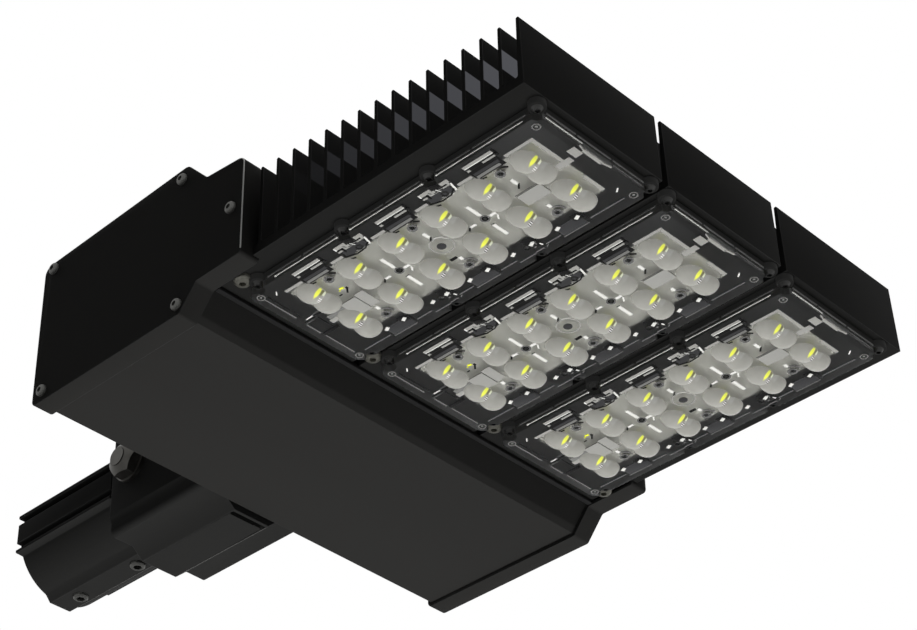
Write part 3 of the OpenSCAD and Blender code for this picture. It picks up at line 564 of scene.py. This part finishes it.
def bar(low, high, soft=0.0, turn=0.0):
    """A bar with eased edges, from its low corner to its high one, turned about its own middle."""
    bpy.ops.mesh.primitive_cube_add(
        size=1,
        location=[(a + b) / 2 * MM for a, b in zip(low, high)],
        rotation=(0, 0, turn),
        scale=[(b - a) * MM for a, b in zip(low, high)],
    )
    piece = settle()
    if soft:
        bpy.ops.object.mode_set(mode="EDIT")
        bpy.ops.mesh.select_all(action="SELECT")
        ease(soft)
        bpy.ops.object.mode_set(mode="OBJECT")
    return piece


def strip(start, end, width, low_z, high_z, soft):
    """A bar from one place to another in the plan."""
    run = math.hypot(end[0] - start[0], end[1] - start[1])
    x, y = (start[0] + end[0]) / 2, (start[1] + end[1]) / 2
    return bar(
        (x - run / 2, y - width / 2, low_z),
        (x + run / 2, y + width / 2, high_z),
        soft,
        math.atan2(end[1] - start[1], end[0] - start[0]),
    )


def upright(centre, radius, low_z, high_z, sides=ROUND_SIDES):
    """An upright cylinder or prism."""
    bpy.ops.mesh.primitive_cylinder_add(
        vertices=sides,
        radius=radius * MM,
        depth=(high_z - low_z) * MM,
        location=(centre[0] * MM, centre[1] * MM, (low_z + high_z) / 2 * MM),
    )
    return settle()


def disc(centre, radius, low_z, high_z, soft=0.0):
    """An upright disc, its lower rim eased."""
    piece = upright(centre, radius, low_z, high_z)
    if soft:
        bpy.ops.object.mode_set(mode="EDIT")
        pick_low_rim(piece, low_z)
        ease(soft, segments=3)
        bpy.ops.object.mode_set(mode="OBJECT")
    return piece


def ring(centre, outer, inner, low_z, high_z, soft):
    """A raised ring: a disc whose lower face is inset and sunk."""
    piece = upright(centre, outer, low_z, high_z)
    bpy.ops.object.mode_set(mode="EDIT")
    pick_down(piece)
    bpy.ops.mesh.inset(thickness=(outer - inner) * MM, depth=0)
    bpy.ops.transform.translate(value=(0, 0, (high_z - low_z) * RING_SINK * MM))
    pick_low_rim(piece, low_z)
    ease(soft)
    bpy.ops.object.mode_set(mode="OBJECT")
    return piece


def hoop(centre, outer, inner, z, height):
    """A thin flat ring."""
    bpy.ops.mesh.primitive_torus_add(
        major_segments=ROUND_SIDES,
        minor_segments=6,
        major_radius=(outer + inner) / 2 * MM,
        minor_radius=(outer - inner) / 2 * MM,
        location=(centre[0] * MM, centre[1] * MM, z * MM),
    )
    bpy.context.active_object.scale.z = height / (outer - inner)
    return settle()


def combine(piece, other, operation):
    """Joins the other shape with the piece, or takes it out of the piece."""
    step = piece.modifiers.new("combine", "BOOLEAN")
    step.operation = operation
    step.solver = "EXACT"
    step.object = other
    bpy.context.view_layer.objects.active = piece
    bpy.ops.object.modifier_apply(modifier="combine")
    bpy.data.objects.remove(other)


def rounded(low, high, radius, soft=0.0):
    """A block with rounded upright corners and an eased lower rim."""
    piece = bar(low, high)
    bpy.ops.object.mode_set(mode="EDIT")
    pick_upright(piece)
    ease(radius, segments=6)
    if soft:
        pick_low_rim(piece, low[2])
        ease(soft, segments=3)
    bpy.ops.object.mode_set(mode="OBJECT")
    return piece


def joined(name, pieces):
    """One object made of several pieces, smooth but for its creases."""
    bpy.ops.object.select_all(action="DESELECT")
    for piece in pieces:
        piece.select_set(True)
    bpy.context.view_layer.objects.active = pieces[0]
    if len(pieces) > 1:
        bpy.ops.object.join()
    whole = bpy.context.active_object
    whole.name = name
    bpy.ops.object.shade_smooth_by_angle(angle=math.radians(CREASE_ANGLE))
    return whole


def fit_out(piece, material, stands_for=None):
    """The piece's finish and body, and the CAD node that it stands for, hidden."""
    piece.data.materials.clear()
    piece.data.materials.append(material)
    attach(piece, BODY)
    if stands_for:
        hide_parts(stands_for)


def on_modules(name, pieces, material, stands_for=None):
    """Puts the same detail on each light module, each copy with its own mesh."""
    whole = joined(name, pieces)
    for side, row in SIDES.items():
        copy = whole.copy()
        copy.data = whole.data.copy()
        copy.name = name + "_" + side
        copy.data.transform(Matrix.Translation((MODULE_X * MM, row * MODULE_PITCH * MM, 0)))
        bpy.context.scene.collection.objects.link(copy)
        fit_out(copy, material, stands_for + "_" + side if stands_for else None)
    bpy.data.objects.remove(whole)


# The light modules, with X and Y from the module's centre

COLUMNS = (-2 * LED_PITCH, 0, 2 * LED_PITCH)
CROSSES = (-LED_PITCH, LED_PITCH)


def proud(height, sunk=0.1):
    """The levels of a detail that stands this proud of the plate's face."""
    return LENS_Z - height, LENS_Z + sunk


FACE = proud(0.2)
LOW = proud(0.1)
BED = proud(0.05)
SHELF = proud(0.16, 0)

# The plates' sizes from the middle, their tops and their corners
PLATE_X, PLATE_Y = 86, 35.2
PLATE_TOP = UNDER_Z - 0.1
FRAME_X, FRAME_Y = 86.5, 35.7
FRAME_TOP = UNDER_Z - 0.05
CORNER_R = 5
POCKET_X, POCKET_Y, POCKET_Z = 73.3, 22.6, -28.9
POCKET_R = 2.2
POCKET_GAP = 0.3
EAR_R = 3.9
EAR_HOLE_R = 3.3
CUT_PAST = 1
EARS = [(x, y) for x in (-78.8, -LED_PITCH, LED_PITCH, 86.0) for y in (-35.2, 35.2)]

# The painted highlight lines, bright on the rim, and the dull lines along the rim and the flange
RIM_X, RIM_Y = 86.15, -35.35
RIM_LEVELS = (-31.95, -31.4)
RIM_DAB_LEVELS = (-32.1, -31.2)
FLANGE_X, FLANGE_Y = 86.55, -35.75
FLANGE_LEVELS = (-30.1, -29.4)
CLIP_LEVELS = (-33.6, -32.6)

# How far the slots, and the ribs between the lenses, are off the grid
SLOT_X = -1.1
RIB_X = 0.6

# The lobes of a lens
LOBE_R = 6.48
LOBE_Z = -31.42
LOBE_PITCH = 10.0
LOBE_STRETCH = 1.145
LOBE_TOP = LENS_Z + 0.2


def slabs(rows, at=FACE, x=0.0, soft=0.06):
    """Flat bars, each from one corner of the plan to the other, moved along X."""
    return [bar((x0 + x, y0, at[0]), (x1 + x, y1, at[1]), soft) for x0, y0, x1, y1 in rows]


def strips(rows, at=FACE, x=0.0, soft=0.06):
    """Flat bars between two places of the plan, each with its width, moved along X."""
    return [strip((x0 + x, y0), (x1 + x, y1), width, *at, soft) for x0, y0, x1, y1, width in rows]


def model_plates():
    """The clear plate with its pocket, and the black frame whose ears take the screws."""
    high = UNDER_Z + CUT_PAST
    x, y = PLATE_X, PLATE_Y
    plate = rounded((-x, -y, LENS_Z), (x, y, PLATE_TOP), CORNER_R, soft=0.4)
    x, y = POCKET_X, POCKET_Y
    combine(plate, rounded((-x, -y, POCKET_Z), (x, y, high), POCKET_R), "DIFFERENCE")
    for ear in EARS:
        combine(plate, disc(ear, EAR_HOLE_R, LENS_Z - CUT_PAST, high), "DIFFERENCE")
    on_modules("lens_body", [plate], FINISHES["lens_clear"], "lens_plate")
    x, y = FRAME_X, FRAME_Y
    black = rounded((-x, -y, FLANGE_Z), (x, y, FRAME_TOP), CORNER_R, soft=0.3)
    x, y = POCKET_X + POCKET_GAP, POCKET_Y + POCKET_GAP
    combine(black, rounded((-x, -y, FLANGE_Z - CUT_PAST), (x, y, high), POCKET_R), "DIFFERENCE")
    ears = [disc(ear, EAR_R, FLANGE_Z, FRAME_TOP, soft=0.3) for ear in EARS]
    on_modules("lens_frame", [black], FRAME_BLACK)
    on_modules("lens_ear", ears, EAR_BLACK)


def model_rim_edges():
    """Painted highlight lines on the rim's side walls and dull lines along the flange, broken at
    the ears, and the clip at the tip.
    """
    runs = ((-66.5, -28.9), (-21.0, 21.3), (29.9, 78))
    # Painted highlights along the rim's side walls
    bright = strips([(a, RIM_Y, b, RIM_Y, 0.5) for a, b in runs], RIM_LEVELS)
    bright += strips([(RIM_X, -30.5, RIM_X, -8, 0.5)], RIM_LEVELS)
    clip = strips(
        [(85.9, -9.6, 84.9, -5.6, 0.8), (84.8, -6.2, 84.8, 5.6, 1.9), (84.9, 4.6, 85.9, 10.5, 1.0)],
        CLIP_LEVELS,
        soft=0.3,
    )
    on_modules("tip_clip", clip, PAD_PALE)
    # Painted highlight dabs at the ends of the rim's lines
    dabs = (-67.6, -29.6, -21.3, 20.9, 29.5)
    bright += strips([(x, RIM_Y, x + 1.1, RIM_Y, 0.9) for x in dabs], RIM_DAB_LEVELS)
    on_modules("rim_painted_highlight", bright, PALE_EDGE)
    runs = ((-72, -50.8), (-49.4, -29.5), (-20.8, -0.8), (0.8, 20.8), (30, 49.3), (50.8, 80))
    dull = strips([(a, FLANGE_Y, b, FLANGE_Y, 0.5) for a, b in runs], FLANGE_LEVELS)
    runs = ((-30.5, -12.5), (-11.5, 9.5), (10.5, 30.5))
    dull += strips([(FLANGE_X, a, FLANGE_X, b, 0.5) for a, b in runs], FLANGE_LEVELS)
    dull += strips([(RIM_X, 11, RIM_X, 30, 0.4)], RIM_LEVELS)
    on_modules("flange_edge", dull, GREY_EDGE)


def model_plate_lines():
    """Ribs, recesses and corner rings moulded into the plate outside the board."""
    lines = [(-82, -28.4, -81.2, -9.4), (-82.4, -2.4, -81.5, 6.3), (-82, 9.1, -81.2, 27)]
    runs = ((-77, -60.5), (-44, -35), (-18, -9.5), (7, 16.2), (33, 41.5), (58, 77))
    lines += [(a, 28.9, b, 29.5) for a, b in runs]
    lines += [(x - 9, 30.8, x + 5.2, 31.4) for x in (*COLUMNS, *CROSSES)]
    ribs = slabs(lines)
    corners = [(x, y) for x in (-81.8, 81.0) for y in (-30.4, 30.4)]
    rings = [hoop(corner, 2.1, 1.4, LENS_Z, height=0.8) for corner in corners]
    rings += [disc(corner, 0.6, *LOW) for corner in corners]
    on_modules("plate_rib", ribs, GREY_EDGE)
    on_modules("corner_ring", rings, LEDGE_GREY)
    recesses = slabs([(x - 8.6, 24.2, x + 5, 30.6) for x in COLUMNS], LOW)
    on_modules("plate_recess", recesses, DULL_EDGE)


def model_slots():
    """The slots behind each column of lenses, and the clips at the ears, on the left side."""
    pale, black, grey, dull, tone = [], [], [], [], []
    for column in COLUMNS:
        x = column + SLOT_X
        tone += slabs(
            [(-8, -32.8, 8, -31.2), (0.6, -29.8, 7.4, -28.7), (-8, -29.8, -6.4, -28.6)], x=x
        )
        pale += slabs([(-8, -31.3, 8, -30.8)], x=x)
        black += slabs(
            [(-6.2, -30, 0.6, -28.6), (-8.2, -30.8, 9.2, -30), (8, -33.2, 9.4, -28.4)], x=x
        )
        black += strips(
            [
                (-8.4, -22.8, -6.6, -21.6, 0.7), (-6.8, -21.5, -4.4, -21.3, 0.7),
                (4, -21.8, 6.4, -19.9, 0.8),
            ],
            x=x,
        )
        black += slabs([(-8.3, -28.6, 7.6, -22.2)], BED, x)
        grey += slabs([(-7.4, -24.5, 5.4, -22.9)], SHELF, x)
        dull += slabs([(-7.4, -26.6, 6.4, -24.9)], SHELF, x)
    for cross in CROSSES:
        x = cross + SLOT_X
        tone += slabs(
            [
                (-7.5, -32.5, -1.7, -30.4), (-4.3, -30.5, -0.7, -28.3), (-8.3, -29.3, -5.7, -28.3),
                (3.6, -32.2, 8.1, -30.1), (3.0, -29.2, 7.3, -28.4), (6.0, -30.2, 7.5, -29.1),
            ],
            x=x,
        )
        pale += strips(
            [
                (7.6, -29.2, 6.5, -24.2, 1.0), (-7.9, -32.3, -7.9, -30.2, 0.7),
                (0.0, -30.2, 1.1, -27.8, 0.45), (-3.6, -31.0, -3.0, -29.2, 0.6),
            ],
            x=x,
        )
        grey += strips(
            [
                (-2.0, -28.9, 0.6, -28.5, 0.6), (-1.6, -24.4, 2.0, -23.9, 0.9),
                (1.6, -23.9, 4.9, -24.0, 0.9), (0.9, -29.4, 3.0, -29.0, 0.5),
            ],
            x=x,
        )
        dull += slabs([(-7.2, -28.2, 5.6, -23.6)], BED, x)
        black += strips(
            [
                (-8.4, -24.6, -2.4, -22.8, 0.8), (-2.6, -22.8, 2.6, -23.2, 0.7),
                (2.4, -23.1, 6.4, -25.6, 0.8), (-8.6, -22.6, -5, -21.3, 0.7),
                (-7.9, -29.9, -4.9, -29.9, 0.8), (-5.0, -30.1, -5.2, -27.0, 0.8),
                (-1.2, -33.0, 2.6, -31.4, 2.4), (3.4, -29.7, 5.9, -29.6, 0.7),
            ],
            x=x,
        )
    on_modules("slot_bar", pale, PALE_EDGE)
    on_modules("slot_gap", black, BLACK_MOULD)
    on_modules("slot_ledge", grey, LEDGE_GREY)
    on_modules("slot_floor", dull, DULL_EDGE)
    on_modules("slot_lip", tone, PAD_PALE)


def model_crosses():
    """The crossed ribs and rings between the lenses, and the tabs and clips about the board."""
    pale, black, grey = [], [], []
    for cross in CROSSES:
        x = cross + RIB_X
        pale += slabs(
            [
                (-0.9, 3.5, 0.9, 12.5), (-0.9, -13, 0.9, -4.5),
                (2.8, -2.5, 6.2, -0.9), (-8.6, -2.4, -5.2, -1),
            ],
            x=x,
        )
        pale += strips([(4.2, 2.4, 6, -0.4, 0.8)], x=x)
        black += strips([(-10.4, 0, -8.4, -2, 0.9), (-1.0, 3.4, 0.9, 3.4, 0.5)], x=x)
        black += [ring((x, -1.6), 1.5, 0.7, *FACE, soft=0.08)]
        grey += [ring((x, -1.6), 2.3, 1.6, *proud(0.12), soft=0.05)]
    for x in COLUMNS:
        pale += slabs([(-0.5, 9.6, 1.2, 12.2)], x=x)
        if x > COLUMNS[0]:
            pale += slabs([(-0.4, -13, 1.3, -8.8)], x=x)
        black += strips([(-1.2, -6.3, 1.2, -9.1, 0.9)], x=x)
        for y in (-18.6, 16.8):
            black += [ring((x - 0.3, y), 1.0, 0.5, *FACE, soft=0.08)]
            grey += [ring((x - 0.3, y), 2.4, 1.6, *FACE, soft=0.08)]
        grey += strips([(0.6, 12.2, 3.6, 14.2, 0.9), (3.5, 14.0, 4.4, 17.0, 0.8)], x=x)
    black += slabs(
        [(-4.2, 8.2, -0.5, 9.8), (-50.3, -9.8, -49.2, -8.4), (-56.2, -7.4, -54.6, -6.8)]
    )
    pale += strips([(1.4, -7.2, 4.2, -5.8, 0.7), (4.1, -5.9, 5.8, -3.0, 0.7)])
    for x in (-58.5, -48.0, -30.0, -21.5, -7.5, 3.0, 18.0, 28.6, 43.5, 54.5):
        pale += strips([(x - 1.2, 25.4, x + 1.2, 24.2, 1.7)], proud(0.4))
    for x in (-48.0, -21.5, 3.0, 28.6, 54.5):
        black += slabs([(-2.6, 22.4, 2.2, 26.8), (2.4, 23.4, 3.6, 30.4)], proud(0.15), x)
    pale += strips([(77.2, 24.0, 79.3, 22.2, 0.7), (-75.5, -26.8, -73.8, -28.8, 0.6)])
    pale += slabs([(-79.4, -5.7, -75.2, -5.0)])
    black += slabs(
        [(-74.8, -5.4, -70.0, -4.1), (-81.4, -4.4, -75.0, -3.7), (-81.6, 6.9, -72, 8.6)]
    )
    black += slabs([(-74.5, -3.0, -74, 6.4), (-79.6, -28.6, -78.8, -8.0)], LOW)
    grey += slabs([(-81.5, -3.3, -76.6, -2.9), (-74.6, -6.4, -70.4, -6.0)])
    for x in CROSSES:
        black += slabs([(0.4, 20.6, 5.6, 24.2), (1.4, 25.4, 6.2, 28.6)], LOW, x)
        pale += slabs([(3.0, 23.9, 4.9, 24.7)], x=x)
        pale += strips([(5.9, 26.9, 6.5, 28.6, 0.8)], x=x)
        grey += slabs(
            [(0.4, 24.9, 1.9, 25.6), (0.6, 30.2, 5.4, 31.4), (2.4, 27.2, 3.6, 28.0)], x=x
        )
        grey += strips([(5.2, 24.6, 4.4, 26.6, 0.5), (6.6, 31.0, 8.2, 30.0, 0.5)], x=x)
    on_modules("rib_bar", pale, PALE_EDGE)
    on_modules("rib_gap", black, BLACK_MOULD)
    on_modules("rib_ledge", grey, GREY_EDGE)
    on_modules("boss_ring", [hoop((0.6, -1.4), 5.9, 5.0, LENS_Z, height=0.5)], PAD_PALE)
    on_modules("boss_core", [disc((0, -1), 2.1, *proud(0.3, 0), soft=0.1)], DULL_EDGE)
    spark = strips([(-52.8, -10.6, -50.6, -10.2, 1.3)]) + slabs([(-54.0, -9.9, -53.2, -9.3)])
    on_modules("board_spark", spark, FINISHES["phosphor"])


def model_leads():
    """The board's pale edges, its connector at the tip and its lead-in at the rear."""
    runs = ((-71, -60.5), (-42.3, -35.3), (-17.7, -9.7), (8.5, 15.5), (33.1, 41.1), (59.3, 75.2))
    sills = slabs([(a, -26.6, b, -24.9) for a, b in runs], LOW)
    sills += slabs([(73.4, -24.9, 75.2, -3), (73.4, 6.5, 75.2, 19)], LOW)
    on_modules("board_sill", sills, PAD_PALE)
    pads = slabs([(70, -7, 78, -3.6), (79.5, -10.5, 83.7, -4.6), (-72.5, 2.2, -60.5, 5)])
    pads += slabs([(45.5, -3.5, 58.5, 4.5), (-60.5, -2.6, -51.5, 8.6)], proud(0.8, 0), soft=0.35)
    pads += slabs([(-51.4, -3.4, -46, 8)], proud(0.4, 0), soft=0.2)
    on_modules("lead_pad", pads, PAD_PALE)
    shades = slabs([(-71.5, -0.6, -61, 2), (45, -3.9, 58.9, -3.5)])
    on_modules("lead_shade", shades, LEDGE_GREY)


def lobe(y):
    """A ball cut off where it meets the plate."""
    bpy.ops.mesh.primitive_uv_sphere_add(
        segments=ROUND_SIDES, ring_count=18, radius=LOBE_R * MM, location=(0, y * MM, LOBE_Z * MM)
    )
    bpy.context.active_object.scale.y = LOBE_STRETCH
    piece = settle()
    bpy.ops.object.mode_set(mode="EDIT")
    bpy.ops.mesh.select_all(action="SELECT")
    bpy.ops.mesh.bisect(
        plane_co=(0, y * MM, LOBE_TOP * MM),
        plane_no=(0, 0, 1),
        use_fill=True,
        clear_outer=True,
    )
    bpy.ops.object.mode_set(mode="OBJECT")
    return piece


def model_lenses():
    """A two-lobed lens over each light source."""
    lens = lobe(-LOBE_PITCH / 2)
    combine(lens, lobe(LOBE_PITCH / 2), "UNION")
    lenses = []
    for column in range(LED_COLUMNS):
        for row in (-0.5, 0.5):
            copy = lens.copy()
            copy.data = lens.data.copy()
            bpy.context.scene.collection.objects.link(copy)
            place = ((column - (LED_COLUMNS - 1) / 2) * LED_PITCH * MM, row * LED_PITCH * MM, 0)
            copy.data.transform(Matrix.Translation(place))
            lenses.append(copy)
    bpy.data.objects.remove(lens)
    on_modules("lens", lenses, LENS_MILK_AND_PAINTED_LIGHT)


model_plates()
model_rim_edges()
model_plate_lines()
model_slots()
model_crosses()
model_leads()
model_lenses()


# The shells

# Node, body, width of the eased edge, shortest edge that is eased, slot
SHELLS = (
    ("end_cap_left", "head", 0.45, 0.5, "cap_paint"),
    ("end_cap_right", "head", 0.45, 0.5, "cap_paint"),
    ("neck_bracket", "head", 0.4, 4, "arm_paint"),
    ("slipfitter_arm", "arm", 0.4, 4, "arm_paint"),
    ("heat_sink_left", "head", 0.3, 4, "sink_paint"),
    ("heat_sink_middle", "head", 0.3, 4, "sink_paint"),
    ("heat_sink_right", "head", 0.3, 4, "sink_paint"),
)
WELD = 0.002
FLAT_ANGLE = 0.4
SHARP_ANGLE = 40
SHELL_CREASE_ANGLE = 30


def ease_shell(node, body, width, shortest, slot):
    """The shell with its sharp edges rounded off, and the edge coat, with its painted highlights,
    laid there.
    """
    piece = bpy.data.objects.new(node + "_eased", NODES[node].data.copy())
    bpy.context.scene.collection.objects.link(piece)
    bpy.ops.object.select_all(action="DESELECT")
    piece.select_set(True)
    bpy.context.view_layer.objects.active = piece
    piece.data.materials.append(EDGE_PAINT)

    def sharp(edge):
        if len(edge.link_faces) != 2 or edge.calc_length() <= shortest * MM:
            return False
        return edge.calc_face_angle_signed(0) > math.radians(SHARP_ANGLE)

    bpy.ops.object.mode_set(mode="EDIT")
    bpy.ops.mesh.select_all(action="SELECT")
    bpy.ops.mesh.remove_doubles(threshold=WELD * MM)
    bpy.ops.mesh.dissolve_limited(angle_limit=math.radians(FLAT_ANGLE))
    pick_edges(piece, sharp)
    bpy.ops.mesh.bevel(
        offset=width * MM, segments=2, affect="EDGES", clamp_overlap=False, material=1
    )
    bpy.ops.object.mode_set(mode="OBJECT")
    bpy.ops.object.shade_smooth_by_angle(angle=math.radians(SHELL_CREASE_ANGLE))
    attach(piece, body)
    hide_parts(node)


for shell in SHELLS:
    ease_shell(*shell)


# Screws, and the dark bar of painted shade in the chin's gap

SINK_SCREW_X = 276.2
SINK_SCREW_Y = (-121.5, -40.9, 40.9, 121.5)
SHANK_R = 2.4
SHANK_TOP = -20
CAP_SCREWS = ((156.9, 35.0), (249.1, 36.5), (283.9, 0.0), (250.6, -35.8), (156.9, -35.8))
CAP_FACE_Y = 136.8
# The dark bar painted as shade in the chin's gap
SHADE_BAR_LOW = (262.4, -125.5, -28.5)
SHADE_BAR_HIGH = (265.2, 125.5, -26.3)

# A pan head's straight part, and the steps of its crown: each is drawn in by a share of the radius
# and goes down by a share of the height
HEAD_WALL = 0.4
CROWN_STEPS = ((0.06, 0.28), (0.14, 0.2), (0.2, 0.12))


def pan_head(centre, radius, height, socket):
    """A pan head hanging under its place, with a hexagon socket in its crown."""
    x, y, top = centre
    piece = disc((x, y), radius, top - height * HEAD_WALL, top)
    bpy.ops.object.mode_set(mode="EDIT")
    for draw, drop in CROWN_STEPS:
        pick_down(piece)
        bpy.ops.mesh.inset(thickness=radius * draw * MM, depth=0)
        bpy.ops.transform.translate(value=(0, 0, -height * drop * MM))
    bpy.ops.object.mode_set(mode="OBJECT")
    end = top - height / 2
    combine(piece, upright((x, y), socket, end - height, end, sides=6), "DIFFERENCE")
    return piece


def model_screws():
    """The big screws that hold the sinks to the housing, and the small ones of the end caps."""
    heads = []
    for y in SINK_SCREW_Y:
        heads.append(pan_head((SINK_SCREW_X, y, UNDER_Z), radius=4.2, height=3.3, socket=1.7))
        heads.append(disc((SINK_SCREW_X, y), SHANK_R, UNDER_Z - 1, SHANK_TOP))
    whole = joined("sink_screw_heads", heads)
    fit_out(whole, FINISHES["zinc_steel"], "sink_screws")
    for side, facing in (("left", -1), ("right", 1)):
        turned = Matrix.Rotation(facing * math.pi / 2, 4, "X")
        heads = []
        for x, z in CAP_SCREWS:
            head = pan_head((0, 0, 0), radius=3.0, height=2.0, socket=1.4)
            place = Matrix.Translation((x * MM, facing * CAP_FACE_Y * MM, z * MM))
            head.data.transform(place @ turned)
            heads.append(head)
        whole = joined("cap_screw_heads_" + side, heads)
        fit_out(whole, CAP_SCREW_STEEL, "cap_screws_" + side)


def model_gap_shade_bar():
    """A dark bar of painted shade in the gap between the housing's chin and the sinks."""
    shade_bar = joined("chin_shade_bar", [bar(SHADE_BAR_LOW, SHADE_BAR_HIGH, soft=0.4)])
    fit_out(shade_bar, FINISHES["black_rubber"])


model_screws()
model_gap_shade_bar()


# Floor, light and background, in metres

FLOOR_AT = (0.2, 0, -1.7)
FLOOR_R = 4.0

# How bright the floor and the background are: the background as a light, then the floor where
# it is seen plainly, and where it is seen in a reflection or through clear plastic
WORLD_LEVEL = 0.06
FLOOR_PLAIN = 0.5
FLOOR_MIRRORED = 0.05

LAMP_AIM = (0.3, 0, 0)

# Name, place, size, power
LAMPS = (
    ("under_light", (0.08, 0.2, -1.45), 1.2, 25),
    ("tip_light", (1.9, 0.3, 0.5), 1.0, 6),
    ("top_light", (0.1, 0.5, 1.7), 1.4, 60),
)


def seen_rays(tree):
    """1 for what is seen plainly, and 1 for what is seen in a reflection or through plastic."""
    outs = Wire(tree).node("ShaderNodeLightPath").socket.node.outputs
    names = ("Is Camera Ray", "Is Glossy Ray", "Is Transmission Ray")
    plain, glossy, clear = (Wire(tree, outs[name]) for name in names)
    return plain, plain.maths("MAXIMUM", glossy, clear)


def lay_floor():
    bpy.ops.mesh.primitive_circle_add(
        vertices=96, radius=FLOOR_R, fill_type="NGON", location=FLOOR_AT
    )
    floor = settle()
    floor.name = "floor"
    pale = finish(
        "pale_floor", Base_Color=(0.8, 0.8, 0.8, 1), Roughness=0.9, Emission_Color=(1, 1, 1, 1)
    )
    plain, mirrored = seen_rays(pale.node_tree)
    feed(pale, Emission_Strength=plain * FLOOR_PLAIN + mirrored * FLOOR_MIRRORED)
    floor.data.materials.append(pale)


def light_world():
    world = bpy.data.worlds.new("studio")
    world.use_nodes = True
    tree = world.node_tree
    shade = tree.nodes["Background"]
    seen = sum(seen_rays(tree))
    plug(tree, shade.inputs["Color"], (1, 1, 1, 1))
    plug(tree, shade.inputs["Strength"], WORLD_LEVEL + seen * (1 - WORLD_LEVEL))
    bpy.context.scene.world = world


def add_lamp(name, at, size, power):
    data = bpy.data.lights.new(name, "AREA")
    data.size = size
    data.energy = power
    lamp = bpy.data.objects.new(name, data)
    bpy.context.scene.collection.objects.link(lamp)
    lamp.visible_glossy = False
    lamp.location = at
    lamp.rotation_euler = (Vector(LAMP_AIM) - Vector(at)).to_track_quat("-Z", "Y").to_euler()


lay_floor()
light_world()
for lamp_row in LAMPS:
    add_lamp(*lamp_row)
bpy.context.scene.view_settings.view_transform = "Standard"
